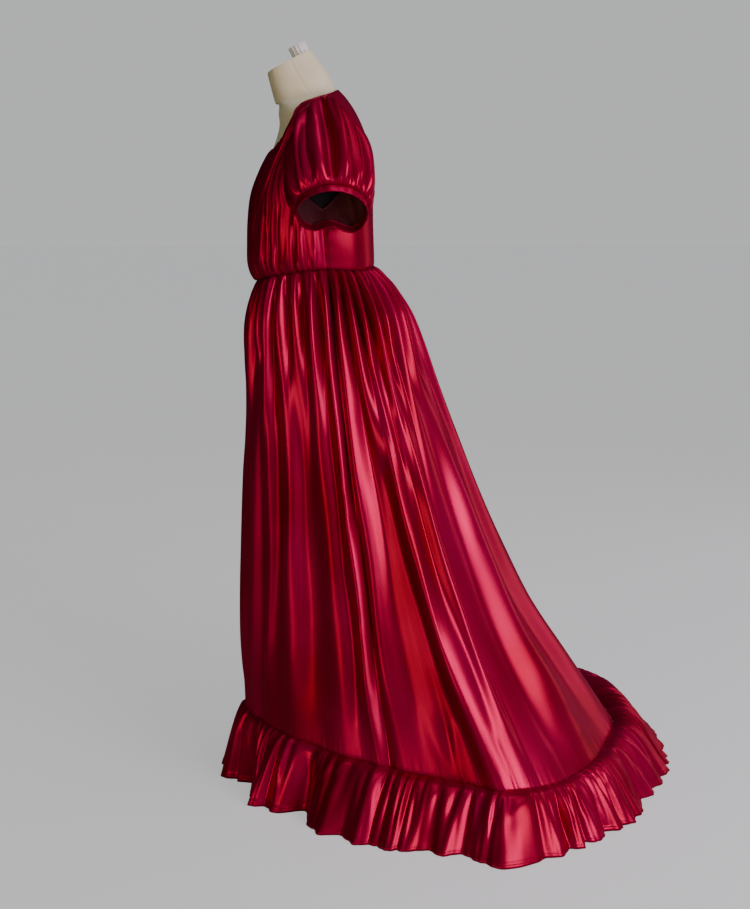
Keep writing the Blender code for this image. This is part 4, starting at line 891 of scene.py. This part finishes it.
def sleeve_cloth(turn, length):
    """The sleeve's satin, pinched at the armhole and at the cuff."""
    turn, length = matched(turn, length)
    points = sleeve(turn % 360, length)
    out = -normals_of(lambda a, b: sleeve(a % 360, b), turn, np.clip(length, 0.01, 0.99), 1.5, 0.01)
    count = turn / 7.2 + 0.7 * np.sin(np.radians(turn) * 3 + 1) + 0.3 * np.sin(np.radians(turn) * 7)
    uneven = 0.6 + 0.4 * np.sin(1.7 * count + 0.5)
    top = 0.35 + 0.65 * ramp(np.abs(turn % 360 - 185), 110, 40)
    head = ramp(np.abs(turn % 360 - 180), 85, 30) * ramp(length, 0.0, 0.05) * (1 - ramp(length, 0.10, 0.34))
    pinch = (1 - ramp(length, 0.05, 0.24)) * top + ramp(length, 0.8, 0.96) * 0.8
    lift = SLEEVE_FINE_HEIGHT * (pipe(count) - 0.5) * uneven * pinch
    lift = lift + crease_height(SLEEVE_CREASES, turn % 360, length)
    lift = lift - seam_groove(length * 0.16) * 0.9 - seam_groove((1 - length) * 0.16) * 0.9
    raised = np.array([-0.5, 0.0, 0.85]) * (SLEEVE_HEAD_HEIGHT * head)[..., None]
    return points + out * (lift + CLOTH_OUT)[..., None] + raised


# Shader node groups
NODE_SPACING = 180
# Places of the colours among a Mix node's inputs and outputs.
MIX_FIRST = 6
MIX_SECOND = 7
MIXED_COLOUR = 2


def feed(tree, made, values):
    """Gives a node's inputs their values: numbers, colours, or (node, output) pairs to link."""
    for name, value in values.items():
        entry = made.inputs[name]
        if isinstance(value, tuple) and isinstance(value[0], bpy.types.Node):
            tree.links.new(value[0].outputs[value[1]], entry)
        else:
            entry.default_value = (*value, 1) if entry.type == "RGBA" else value


def node(tree, kind, values=None, **settings):
    """A new node beside the last one, with its settings and the values of its inputs."""
    made = tree.nodes.new(kind)
    made.location = (NODE_SPACING * len(tree.nodes), 0)
    for name, value in settings.items():
        setattr(made, name, value)
    feed(tree, made, values or {})
    return made


def calculate(tree, operation, *values):
    """A Math node's result. Each value is a number or a (node, output) pair."""
    return node(tree, "ShaderNodeMath", dict(enumerate(values)), operation=operation), "Value"


def eased(tree, value, low, high, to_low=0.0, to_high=1.0):
    """A value carried smoothly from one range to another."""
    ends = {"Value": value, "From Min": low, "From Max": high, "To Min": to_low, "To Max": to_high}
    return node(tree, "ShaderNodeMapRange", ends, interpolation_type="SMOOTHSTEP"), "Result"


def blend(tree, factor, first, second):
    """A mix of two colours, each given as numbers or as a (node, output) pair."""
    values = {"Factor": factor, MIX_FIRST: first, MIX_SECOND: second}
    return node(tree, "ShaderNodeMix", values, data_type="RGBA"), MIXED_COLOUR


def noise(tree, surface, scale, detail, stretch=None, distortion=0.0):
    """Noise over a surface, stretched along its two directions where a stretch is given."""
    if stretch:
        surface = (node(tree, "ShaderNodeMapping", {"Vector": surface, "Scale": (*stretch, 1.0)}), "Vector")
    values = {"Vector": surface, "Scale": scale, "Detail": detail, "Distortion": distortion}
    return node(tree, "ShaderNodeTexNoise", values), "Fac"


def new_group(name, surface, numbers, exits):
    """A node group with one vector input, its number inputs and its number outputs."""
    group = bpy.data.node_groups.new(name, "ShaderNodeTree")
    group.interface.new_socket(name=surface, in_out="INPUT", socket_type="NodeSocketVector")
    for entry, value in numbers.items():
        socket = group.interface.new_socket(name=entry, in_out="INPUT", socket_type="NodeSocketFloat")
        socket.default_value = value
    for leaving in exits:
        group.interface.new_socket(name=leaving, in_out="OUTPUT", socket_type="NodeSocketFloat")
    return group, node(group, "NodeGroupInput"), node(group, "NodeGroupOutput")


# Layers of the weave: stretch along the two directions of the cloth, detail and distortion.
WEAVE_LAYERS = {
    "Threads": ((1100.0, 60.0), 2.0, 0.0),
    "Slubs": ((210.0, 5.0), 3.0, 0.0),
    "Rumple": ((13.0, 7.0), 1.0, 0.5),
    "Tone": ((7.0, 3.0), 2.0, 0.0),
}


def weave_group():
    """Satin weave: long warp floats with fine slubs, and the soft rumple of handled cloth."""
    group, enter, leave = new_group("Satin weave", "Cloth", {"Thread scale": 1.0}, WEAVE_LAYERS)
    layers = {
        name: noise(group, (enter, "Cloth"), 1.0, detail, stretch, distortion)
        for name, (stretch, detail, distortion) in WEAVE_LAYERS.items()
    }
    layers["Threads"] = calculate(group, "MULTIPLY", layers["Threads"], (enter, "Thread scale"))
    feed(group, leave, layers)
    return group


def stitch_group():
    """A row of hand stitches beside an edge. Sewn holds metres along the edge and metres from it."""
    numbers = {"From edge": 0.006, "Stitch length": 0.0034}
    group, enter, leave = new_group("Stitch row", "Sewn", numbers, ("Stitches", "Dip"))
    sewn = node(group, "ShaderNodeSeparateXYZ", {"Vector": (enter, "Sewn")})
    away = calculate(group, "ABSOLUTE", calculate(group, "SUBTRACT", (sewn, "Y"), (enter, "From edge")))
    share = calculate(group, "FRACT", calculate(group, "DIVIDE", (sewn, "X"), (enter, "Stitch length")))
    share = calculate(group, "ABSOLUTE", calculate(group, "SUBTRACT", share, 0.5))
    line = eased(group, away, 0.0003, 0.0007, 1.0, 0.0)
    dash = eased(group, share, 0.27, 0.36, 1.0, 0.0)
    stitches = calculate(group, "MULTIPLY", line, dash)
    feed(group, leave, {"Stitches": stitches, "Dip": eased(group, away, 0.0004, 0.0024, 1.0, 0.0)})
    return group


def knit_group():
    """Fine jersey over a padded form: rows of small loops, and patches of handling."""
    group, enter, leave = new_group("Jersey knit", "Surface", {"Loop size": 0.0016}, ("Loops", "Handling"))
    to_turn = calculate(group, "DIVIDE", math.pi, (enter, "Loop size"))
    metres = node(group, "ShaderNodeSeparateXYZ", {"Vector": (enter, "Surface")})
    across, up = (
        calculate(group, "SINE", calculate(group, "MULTIPLY", (metres, way), to_turn)) for way in "XY"
    )
    loops = eased(group, calculate(group, "MULTIPLY", across, up), -1.0, 1.0)
    feed(group, leave, {"Loops": loops, "Handling": noise(group, (enter, "Surface"), 14.0, 4.0)})
    return group


def grain_group():
    """Fine grain with brighter rubbed places, for paint and moulded plastic."""
    group, enter, leave = new_group("Fine grain", "Surface", {"Grain size": 900.0}, ("Grain", "Rubbed"))
    grain = noise(group, (enter, "Surface"), (enter, "Grain size"), 3.0)
    rubbed = noise(group, (enter, "Surface"), 22.0, 5.0)
    feed(group, leave, {"Grain": grain, "Rubbed": eased(group, rubbed, 0.5, 0.72)})
    return group


GROUPS = {"weave": weave_group(), "stitch": stitch_group(), "knit": knit_group(), "grain": grain_group()}


# Materials
SATIN_GLOSS = 0.33
SHADED_WINE = (0.262, 0.0030, 0.0190)
FULL_WINE = (0.410, 0.0040, 0.0520)
SLUB_WINE = tuple(part * 1.25 for part in FULL_WINE)


def new_material(name, shown):
    made = bpy.data.materials.new(name)
    made.use_nodes = True
    made.diffuse_color = (*shown, 1)
    return made, made.node_tree, made.node_tree.nodes["Principled BSDF"]


def use_group(tree, name, uv_map=None, values=None):
    """A shared node group over a piece's own cloth coordinates, or over its place in the scene."""
    if uv_map:
        where = (node(tree, "ShaderNodeUVMap", uv_map=uv_map), "UV")
    else:
        where = (node(tree, "ShaderNodeTexCoord"), "Object")
    return node(tree, "ShaderNodeGroup", {0: where, **(values or {})}, node_tree=GROUPS[name])


def finish_shader(tree, shader, colour, bump, values):
    """The shader's colour, its bump (height, strength, distance) and its other values."""
    raised = node(tree, "ShaderNodeBump", dict(zip(("Height", "Strength", "Distance"), bump)))
    feed(tree, shader, {"Base Color": colour, "Normal": (raised, "Normal"), **values})


def satin_material(name, from_edge=0.0, thread=None):
    """Wine red satin. One with a thread colour has a row of stitches at a distance from its edge."""
    made, tree, shader = new_material(name, FULL_WINE)
    weave = use_group(tree, "weave", "Cloth")
    colour = blend(tree, eased(tree, (weave, "Tone"), 0.3, 0.7), SHADED_WINE, FULL_WINE)
    colour = blend(tree, eased(tree, (weave, "Slubs"), 0.45, 0.80, 0.0, 0.10), colour, SLUB_WINE)
    layers = [((weave, "Rumple"), 1.0), ((weave, "Threads"), 0.012), ((weave, "Slubs"), 0.003)]
    if thread:
        row = use_group(tree, "stitch", "Sewn", {"From edge": from_edge})
        colour = blend(tree, (row, "Stitches"), colour, thread)
        layers += [((row, "Dip"), -0.30), ((row, "Stitches"), 0.22)]
    height = 0.0
    for layer, share in layers:
        height = calculate(tree, "MULTIPLY_ADD", layer, share, height)
    finish_shader(tree, shader, colour, (height, 0.55, 0.0016), {
        "Roughness": eased(tree, (weave, "Slubs"), 0.2, 0.8, SATIN_GLOSS - 0.03, SATIN_GLOSS + 0.04),
        "Metallic": 0.70,
        "Specular IOR Level": 0.15,
        "Specular Tint": (1.0, 0.06, 0.42),
        "Anisotropic": 0.3,
        "Sheen Weight": 0.08,
        "Sheen Roughness": 0.35,
        "Sheen Tint": (1.0, 0.06, 0.40),
    })
    return made


def painted_shade_reverse_material():
    """The satin's dull wrong side, darker than the cloth's own colour as painted shade for the inside of the
    sleeves.
    """
    made, tree, shader = new_material("Wine satin wrong side with painted shade", (0.1, 0.003, 0.01))
    weave = use_group(tree, "weave", "Cloth")
    tone = eased(tree, (weave, "Tone"), 0.3, 0.7)
    # Both colours are partly the dull wrong side and partly painted shade for the dark inside of the sleeves.
    colour = blend(tree, tone, (0.070, 0.0015, 0.006), (0.110, 0.003, 0.010))
    finish_shader(tree, shader, colour, ((weave, "Threads"), 0.3, 0.0005), {"Roughness": 0.72})
    return made


def jersey_material():
    """The dress form's matte cover."""
    made, tree, shader = new_material("Cream jersey", FORM_CLOTH)
    knit = use_group(tree, "knit", "Cloth")
    handling = eased(tree, (knit, "Handling"), 0.35, 0.7)
    colour = blend(tree, handling, (0.80, 0.70, 0.45), (0.88, 0.79, 0.55))
    colour = blend(tree, eased(tree, (knit, "Loops"), 0.0, 1.0, 0.0, 0.16), colour, (0.84, 0.78, 0.66))
    finish_shader(tree, shader, colour, ((knit, "Loops"), 0.35, 0.0005), {
        "Roughness": eased(tree, (knit, "Handling"), 0.3, 0.7, 0.78, 0.9),
        "Sheen Weight": 0.25,
        "Sheen Roughness": 0.5,
    })
    return made


def hard_material(name, colour, rubbed, roughness, metallic, grain_size):
    """Paint, moulded plastic, or the black cloth that paints the shade inside the sleeves, with fine grain
    and rubbed places.
    """
    made, tree, shader = new_material(name, colour)
    grain = use_group(tree, "grain", values={"Grain size": grain_size})
    tint = blend(tree, (grain, "Rubbed"), colour, rubbed)
    finish_shader(tree, shader, tint, ((grain, "Grain"), 0.15, 0.0003), {
        "Roughness": eased(tree, (grain, "Grain"), 0.2, 0.8, roughness - 0.06, roughness + 0.1),
        "Metallic": metallic,
    })
    return made


STITCH_RED = (0.20, 0.004, 0.018)
EDGE_STITCH_RED = (0.22, 0.004, 0.018)
gown_satin = satin_material("Wine satin")
hem_satin = satin_material("Wine satin with a sewn hem", 0.0075, STITCH_RED)
seam_satin = satin_material("Wine satin with edge stitching", 0.0035, EDGE_STITCH_RED)
# The wrong side's dark colour is partly painted shade, for the inside of the sleeves.
wrong_side_painted_shade = painted_shade_reverse_material()
cream_jersey = jersey_material()
# Near-black cloth for the armhole caps: painted shade for the dark inside of the sleeves.
shade_black_cloth = hard_material("Black cloth painted shade", (0.012, 0.011, 0.011), (0.022, 0.020, 0.020), 0.85, 0.0, 1500.0)
white_plastic = hard_material("White knob plastic", WHITE_PLASTIC, (0.74, 0.72, 0.68), 0.42, 0.0, 1300.0)
black_paint = hard_material("Black stand paint", (0.018, 0.018, 0.02), (0.09, 0.09, 0.095), 0.38, 0.35, 700.0)


# Making cloth
def opened(mesh):
    """A mesh as a bmesh, for changes by hand."""
    shape = bmesh.new()
    shape.from_mesh(mesh)
    return shape


def put_back(shape, mesh):
    shape.to_mesh(mesh)
    shape.free()


def run_lengths(points, axis):
    """Metres of cloth along one way of a grid of points, as its lines have it on average."""
    steps = np.linalg.norm(np.diff(points, axis=axis), axis=-1).mean(axis=1 - axis)
    return np.concatenate([[0], np.cumsum(steps)])


def down_to_edge(points):
    """Metres of cloth from each point down to the last row."""
    steps = np.linalg.norm(np.diff(points, axis=0), axis=-1)
    below = np.cumsum(steps[::-1], axis=0)[::-1]
    return np.concatenate([below, np.zeros((1, points.shape[1]))])


def near_edges(points):
    """Metres of cloth from the nearer of the first and last rows."""
    return np.minimum(down_to_edge(points[::-1])[::-1], down_to_edge(points))


def lay_cloth(
    name, surface, a_values, b_values, made_of, inside=None, sewn=None, closed=False, flip=False, thick=True
):
    """A piece: a grid over a surface function, with its own cloth coordinates in metres. Inside is
    its other side's material, and sewn gives each point's metres from the sewn edge."""
    a, b = np.meshgrid(a_values, b_values)
    points = surface(a, b)
    rows, columns = a.shape
    index = np.arange(rows * columns).reshape(rows, columns)
    quads = np.stack([index[:-1, :-1], index[:-1, 1:], index[1:, 1:], index[1:, :-1]], axis=-1).reshape(-1, 4)
    if flip:
        quads = quads[:, ::-1]
    corners = quads.reshape(-1)
    if closed:
        quads = np.where(quads % columns == columns - 1, quads - (columns - 1), quads)
    mesh = bpy.data.meshes.new(name)
    mesh.from_pydata(points.reshape(-1, 3).tolist(), [], quads.tolist())
    u, v = np.meshgrid(run_lengths(points, 1), run_lengths(points, 0))
    coordinates = {"Cloth": (u, v)}
    if sewn:
        coordinates["Sewn"] = (u, sewn(points))
    for layer_name, ways in coordinates.items():
        layer = mesh.uv_layers.new(name=layer_name)
        uv = np.stack(ways, axis=-1).reshape(-1, 2)[corners]
        layer.data.foreach_set("uv", uv.astype(np.float32).reshape(-1))
    mesh.update()
    if closed:
        shape = opened(mesh)
        loose = [point for point in shape.verts if not point.link_faces]
        bmesh.ops.delete(shape, geom=loose, context="VERTS")
        put_back(shape, mesh)
    mesh.shade_smooth()
    mesh.materials.append(made_of)
    if inside:
        mesh.materials.append(inside)
    piece = bpy.data.objects.new(name, mesh)
    bpy.context.scene.collection.objects.link(piece)
    if thick:
        body = piece.modifiers.new("Cloth thickness", "SOLIDIFY")
        body.thickness = CLOTH
        body.offset = 1.0
        body.use_quality_normals = True
        body.material_offset = 1 if inside else 0
    return piece


def finish_piece(piece, nodes):
    """Ties a piece to the root body and hides the CAD nodes that it replaces."""
    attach(piece, "root")
    if nodes:
        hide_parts(*nodes)


def stretches(*parts):
    """Places along one stretch after another, each with its start, end and count of places."""
    places = [np.linspace(*part) for part in parts]
    return np.concatenate([*(some[:-1] for some in places[:-1]), places[-1]])


# Skirt and ruffle
SKIRT_STEP = 0.52
SKIRT_ROWS = 100
COLUMNS_ON_A_GATHER = 11
TURNED_HEM = (0.905, 0.915, 0.96, 1.0)
# Each panel: its two seams, then the skirt's flat size and area, and the ruffle's flat size.
PANELS = {
    "front": (-SIDE_SEAM, SIDE_SEAM, (0.95, 0.93), 0.73, (1.20, 0.155)),
    "back_left": (SIDE_SEAM, 180.0, (0.80, 1.13), 0.60, (1.12, 0.165)),
    "back_right": (-180.0, -SIDE_SEAM, (0.80, 1.13), 0.60, (1.12, 0.165)),
}

# Rows down the skirt lie closer together near the waist and the hem seam.
even = np.linspace(0, 1, SKIRT_ROWS)
falls = 0.0002 + (0.9996 - 0.0002) * (even - 0.075 * np.sin(2 * np.pi * even))
for panel, (first, last, flat, area, _) in PANELS.items():
    surface = drawn_in(skirt_cloth, first, last)
    angles = np.linspace(first, last, int(round((last - first) / SKIRT_STEP)) + 1)
    piece = lay_cloth(f"skirt_{panel}_satin", surface, angles, falls, gown_satin, wrong_side_painted_shade, flip=True)
    finish_piece(piece, [f"skirt_{panel}"])

all_round = np.linspace(-180, 180, 7201)
counts = gather_phase(all_round)
drops = np.append(stretches((0.0006, 0.12, 8), (0.12, 0.88, 14)), TURNED_HEM)
for panel, (first, last, _, _, flat) in PANELS.items():
    surface = drawn_in(ruffle_cloth, first, last)
    low, high = np.interp([first, last], all_round, counts)
    angles = np.interp(np.linspace(low, high, int((high - low) * COLUMNS_ON_A_GATHER)), counts, all_round)
    angles[0], angles[-1] = first, last
    piece = lay_cloth(
        f"ruffle_{panel}_satin", surface, angles, drops, hem_satin, wrong_side_painted_shade, down_to_edge, flip=True
    )
    finish_piece(piece, [f"ruffle_{panel}"])


# Bodice
across = np.linspace(-0.9995, 0.9995, 241)
rises = stretches((0.0008, 0.16, 17), (0.16, 0.9985, 58))
front = lay_cloth("bodice_front_satin", bodice_cloth, across, rises, seam_satin, wrong_side_painted_shade, near_edges)
finish_piece(front, ["bodice_front"])
across = np.linspace(0.0015, 0.9993, 70)
rises = np.linspace(0.0008, 0.9985, 70)
for side, panel, flip in (("left", back_cloth, False), ("right", mirrored(back_cloth), True)):
    name = f"bodice_back_{side}"
    back = lay_cloth(f"{name}_satin", panel, across, rises, seam_satin, wrong_side_painted_shade, near_edges, flip=flip)
    finish_piece(back, [name])


# Sleeves and cuffs
BAND_HALF_THICKNESS = 0.0012
BAND_OUT = 0.0009
BAND_RIPPLE = 0.0005


def cuff_band(turn, around):
    """The cuff's band, folded to a rounded section."""
    turn, around = matched(turn, around)
    half = (CUFF_DEPTH - SEAM_GAP) / 2
    section = 2 * np.pi * around
    down = half + SEAM_GAP - half * np.sign(np.cos(section)) * np.abs(np.cos(section)) ** 0.25
    out = BAND_HALF_THICKNESS * np.sign(np.sin(section)) * np.abs(np.sin(section)) ** 0.35
    away = -normals_of(cuff_ring, turn, down, 2.0, 0.001)
    ripple = BAND_RIPPLE * np.sin(np.radians(turn) * 23 + 2 * np.sin(np.radians(turn) * 3)) * (out > 0)
    return cuff_ring(turn, down) + away * (out + BAND_OUT + ripple)[..., None]


puff_turns = np.linspace(0, 360, 233)
lengths = stretches((0.002, 0.2, 14), (0.2, 0.82, 26), (0.82, 0.998, 14))
band_turns = np.linspace(0, 360, 161)
around = np.linspace(0, 1, 33)
for side, puff_surface, band_surface, flip in (
    ("left", sleeve_cloth, cuff_band, True),
    ("right", mirrored(sleeve_cloth), mirrored(cuff_band), False),
):
    sleeve_node, cuff_node = f"sleeve_{side}", f"cuff_{side}"
    puff = lay_cloth(
        f"{sleeve_node}_satin", puff_surface, puff_turns, lengths, gown_satin, wrong_side_painted_shade,
        closed=True, flip=flip,
    )
    finish_piece(puff, [sleeve_node])
    band = lay_cloth(
        f"{cuff_node}_satin", band_surface, band_turns, around, seam_satin,
        sewn=near_edges, closed=True, flip=flip, thick=False,
    )
    finish_piece(band, [cuff_node])


# Dress form
FORM_SEAM_DEPTH = 0.0009
FORM_SEAM_WIDTH = 0.75


def form_cover(turn, level):
    """The jersey cover, with a shallow seam down each side and down the centre back."""
    turn, level = matched(turn, level)
    points = form_surface(turn, level)
    out = normals_of(form_surface, turn, np.clip(level, -4.97, 13.97), 1.0, 0.02)
    seams = sum(np.exp(-(((turn % 360 - line) / FORM_SEAM_WIDTH) ** 2)) for line in (90.0, 180.0, 270.0))
    return points - out * (FORM_SEAM_DEPTH * seams)[..., None]


def closed_cover(name, made_of):
    """The cover as one closed skin, with a flat underside and a flat neck top, their edges eased."""
    levels = stretches((-5, 0, 32), (0, 12, 90), (12, 14, 24))
    cover = lay_cloth(name, form_cover, np.linspace(0, 360, 145), levels, made_of, closed=True, thick=False)
    shape = opened(cover.data)
    filled = bmesh.ops.edgeloop_fill(shape, edges=[edge for edge in shape.edges if edge.is_boundary])
    for face in filled["faces"]:
        bmesh.ops.inset_individual(shape, faces=[face], thickness=0.0025, use_even_offset=True)
    bmesh.ops.recalc_face_normals(shape, faces=shape.faces)
    put_back(shape, cover.data)
    cover.data.shade_smooth()
    cover.data.set_sharp_from_angle(angle=math.radians(50))
    return cover


finish_piece(closed_cover("form_cover", cream_jersey), ["form_body"])


CAP_EXTRA_ROWS = 0.45
CAP_EXTRA_ANGLE = 5.0
CAP_OUT = 0.0008


def arm_shade_cap(turn, share):
    """A black cap over the form's cut arm, from its rim in to its middle, inside the armhole: a dark sheet
    put there as painted shade for the dark inside of the sleeve.
    """
    turn, share = matched(turn, share)
    t = np.radians(turn)
    half_row = (ARMHOLE["high_row"] - ARMHOLE["low_row"]) / 2 + CAP_EXTRA_ROWS
    row = (ARMHOLE["high_row"] + ARMHOLE["low_row"]) / 2 - half_row * np.cos(t) * share
    side = SHOULDER_ANGLE - (ARMHOLE["half_angle"] + CAP_EXTRA_ANGLE) * np.sin(t) * share
    return form_surface(side, row) + torso_out(side, row) * (CAP_OUT * (1 - share**8))[..., None]


# Black caps inside the armholes, painted shade for the dark inside of the sleeves.
cap_turns = np.linspace(0, 360, 73)
shares = stretches((1.0, 0.92, 6), (0.92, 0.02, 18))
for side, cap, flip in (("left", arm_shade_cap, False), ("right", mirrored(arm_shade_cap), True)):
    patch = lay_cloth(
        f"form_arm_cap_{side}", cap, cap_turns, shares, shade_black_cloth, closed=True, flip=flip, thick=False
    )
    shape = opened(patch.data)
    bmesh.ops.holes_fill(shape, edges=[edge for edge in shape.edges if edge.is_boundary], sides=80)
    bmesh.ops.recalc_face_normals(shape, faces=shape.faces)
    put_back(shape, patch.data)
    finish_piece(patch, [])


# Knob and stand
def cylinder(name, sides, radius, depth, centre, tilt=0.0):
    """A plain turned piece, still to be eased."""
    bpy.ops.object.select_all(action="DESELECT")
    bpy.ops.mesh.primitive_cylinder_add(
        vertices=sides, radius=radius, depth=depth, location=centre, rotation=(tilt, 0, 0)
    )
    bpy.context.object.name = name
    return bpy.context.object


def ease_edges(thing, width, segments, made_of):
    """Puts a turned piece's place into its mesh, rounds its edges and gives it its material."""
    bpy.ops.object.transform_apply(location=True, rotation=True, scale=True)
    easing = thing.modifiers.new("Eased edges", "BEVEL")
    easing.width = width
    easing.segments = segments
    easing.limit_method = "ANGLE"
    bpy.ops.object.modifier_apply(modifier=easing.name)
    bpy.ops.object.shade_smooth_by_angle(angle=math.radians(40))
    thing.data.materials.append(made_of)
    return thing


collar_top = HIP_ROWS[0][0] - SEAM_GAP
collar_low = collar_top - POLE_COLLAR_HEIGHT
pole_low, pole_top = BASE_THICKNESS + SEAM_GAP, collar_low - SEAM_GAP
# Each piece of the stand: its name and node, sides, radius, two heights and the width of its eased edge.
for name, replaced, sides, radius, low, high, edge in (
    ("stand_base_plate", "stand_base", 96, BASE_RADIUS, 0.0, BASE_THICKNESS, 0.004),
    ("stand_pole_tube", "stand_pole", 64, POLE_RADIUS, pole_low, pole_top, 0.0012),
    ("stand_collar_ring", "stand_collar", 72, POLE_COLLAR_RADIUS, collar_low, collar_top, 0.003),
):
    turned = cylinder(name, sides, radius, high - low, (0, 0, (low + high) / 2))
    finish_piece(ease_edges(turned, edge, 4, black_paint), [replaced])


def neck_knob(made_of):
    """The ridged knob, square to the neck's tilted top, with eased edges and a dished top."""
    tilt = math.radians(NECK_ROWS[-1][5])
    up = np.array([0, -math.sin(tilt), math.cos(tilt)])
    behind = np.array([0, math.cos(tilt), math.sin(tilt)])
    top_ring = form_surface(np.arange(0.0, 360.0, 10.0), np.full(36, len(GOWN_ROWS) - 1.0))
    foot = top_ring.mean(axis=0) + behind * KNOB_OFFSET + up * SEAM_GAP
    centre = foot + up * KNOB_HEIGHT / 2
    knob = cylinder("neck_knob", KNOB_RIDGES * 4, KNOB_RADIUS, KNOB_HEIGHT, centre, tilt)
    for vertex in knob.data.vertices:
        if vertex.index // 4 % 2:
            vertex.co.x *= KNOB_GROOVE
            vertex.co.y *= KNOB_GROOVE
    bpy.ops.object.mode_set(mode="EDIT")
    bpy.ops.mesh.select_all(action="DESELECT")
    bpy.ops.object.mode_set(mode="OBJECT")
    for face in knob.data.polygons:
        face.select = face.normal.z > 0.9
    bpy.ops.object.mode_set(mode="EDIT")
    bpy.ops.mesh.select_mode(type="FACE")
    bpy.ops.mesh.inset(thickness=0.004)
    bpy.ops.mesh.inset(thickness=0.002, depth=-0.0012)
    bpy.ops.object.mode_set(mode="OBJECT")
    return ease_edges(knob, 0.0005, 2, made_of)


finish_piece(neck_knob(white_plastic), ["form_neck_knob"])


# Floor, light and camera
STUDIO_WHITE = (0.93, 0.94, 0.96)
bpy.ops.object.select_all(action="DESELECT")
bpy.ops.mesh.primitive_plane_add(size=60, location=(0, 0, 0))
floor = bpy.context.object
floor.name = "studio_floor"
floor_paint, paint, floor_shader = new_material("Pale floor", (0.40, 0.40, 0.40))
mottle = noise(paint, (node(paint, "ShaderNodeTexCoord"), "Object"), 3.0, 5.0)
seen = (node(paint, "ShaderNodeLightPath"), "Is Camera Ray")
feed(paint, floor_shader, {
    "Base Color": blend(paint, mottle, (0.40, 0.40, 0.40), (0.44, 0.44, 0.437)),
    "Roughness": 0.75,
    "Emission Color": STUDIO_WHITE,
    "Emission Strength": eased(paint, seen, 0.0, 1.0, 0.0, 0.50),
})
floor.data.materials.append(floor_paint)

world = bpy.data.worlds.new("Studio")
bpy.context.scene.world = world
world.use_nodes = True
sky = world.node_tree
ways = {0: (node(sky, "ShaderNodeTexCoord"), "Generated"), 1: (0.55, 0.68, 0.48)}
to_window = node(sky, "ShaderNodeVectorMath", ways, operation="DOT_PRODUCT")
daylight = eased(sky, (to_window, "Value"), -0.4, 1.0, 0.008, 0.32)
seen = (node(sky, "ShaderNodeLightPath"), "Is Camera Ray")
strength = node(sky, "ShaderNodeMix", {"Factor": seen, "A": daylight, "B": 0.594})
feed(sky, sky.nodes["Background"], {"Color": STUDIO_WHITE, "Strength": (strength, "Result")})


def aim(name, data, place, target):
    """Puts a light in its place, turned to its target."""
    lamp = bpy.data.objects.new(name, data)
    bpy.context.scene.collection.objects.link(lamp)
    lamp.location = place
    lamp.rotation_euler = (Vector(target) - Vector(place)).to_track_quat("-Z", "Y").to_euler()


# Each light: its place, what it is turned to, its width and height, power and colour.
for name, place, target, wide, high, power, colour in (
    ("Window light", (2.7, 2.05, 1.6), (0.0, 0.2, 0.75), 1.8, 2.3, 88, (0.97, 0.80, 0.96)),
    ("Rim light", (-1.5, 2.9, 1.2), (0.0, 0.30, 0.80), 1.2, 2.0, 13, (0.95, 0.78, 1.0)),
    ("Near fill", (2.7, -2.4, 0.55), (0.0, 0.0, 0.25), 1.6, 1.4, 24, (1.0, 0.90, 0.52)),
    ("Top light", (0.6, 0.9, 3.4), (0.1, 0.2, 0.4), 1.6, 1.6, 12, (1.0, 1.0, 1.0)),
):
    light = bpy.data.lights.new(name, "AREA")
    light.shape = "RECTANGLE"
    light.size = wide
    light.size_y = high
    light.energy = power
    light.color = colour
    aim(name, light, place, target)

SENSOR = 36.0
FOCUS_IN_PIXELS = 1530
PICTURE_HEIGHT = 909
CAMERA_AWAY = 3.0
CAMERA_SIDE = 0.122
CAMERA_HEIGHT = 1.17
CAMERA_TURN = math.radians(4.0)
CAMERA_DIP = math.radians(9.8)
lens = bpy.data.cameras.new("Camera")
lens.sensor_width = SENSOR
lens.lens = FOCUS_IN_PIXELS / PICTURE_HEIGHT * SENSOR
camera = bpy.data.objects.new("Camera", lens)
bpy.context.scene.collection.objects.link(camera)
camera.location = (
    CAMERA_AWAY * math.cos(CAMERA_TURN),
    CAMERA_SIDE - CAMERA_AWAY * math.sin(CAMERA_TURN),
    CAMERA_HEIGHT,
)
camera.rotation_euler = (math.pi / 2 - CAMERA_DIP, 0, math.pi / 2 - CAMERA_TURN)
bpy.context.scene.camera = camera

bpy.context.view_layer.update()
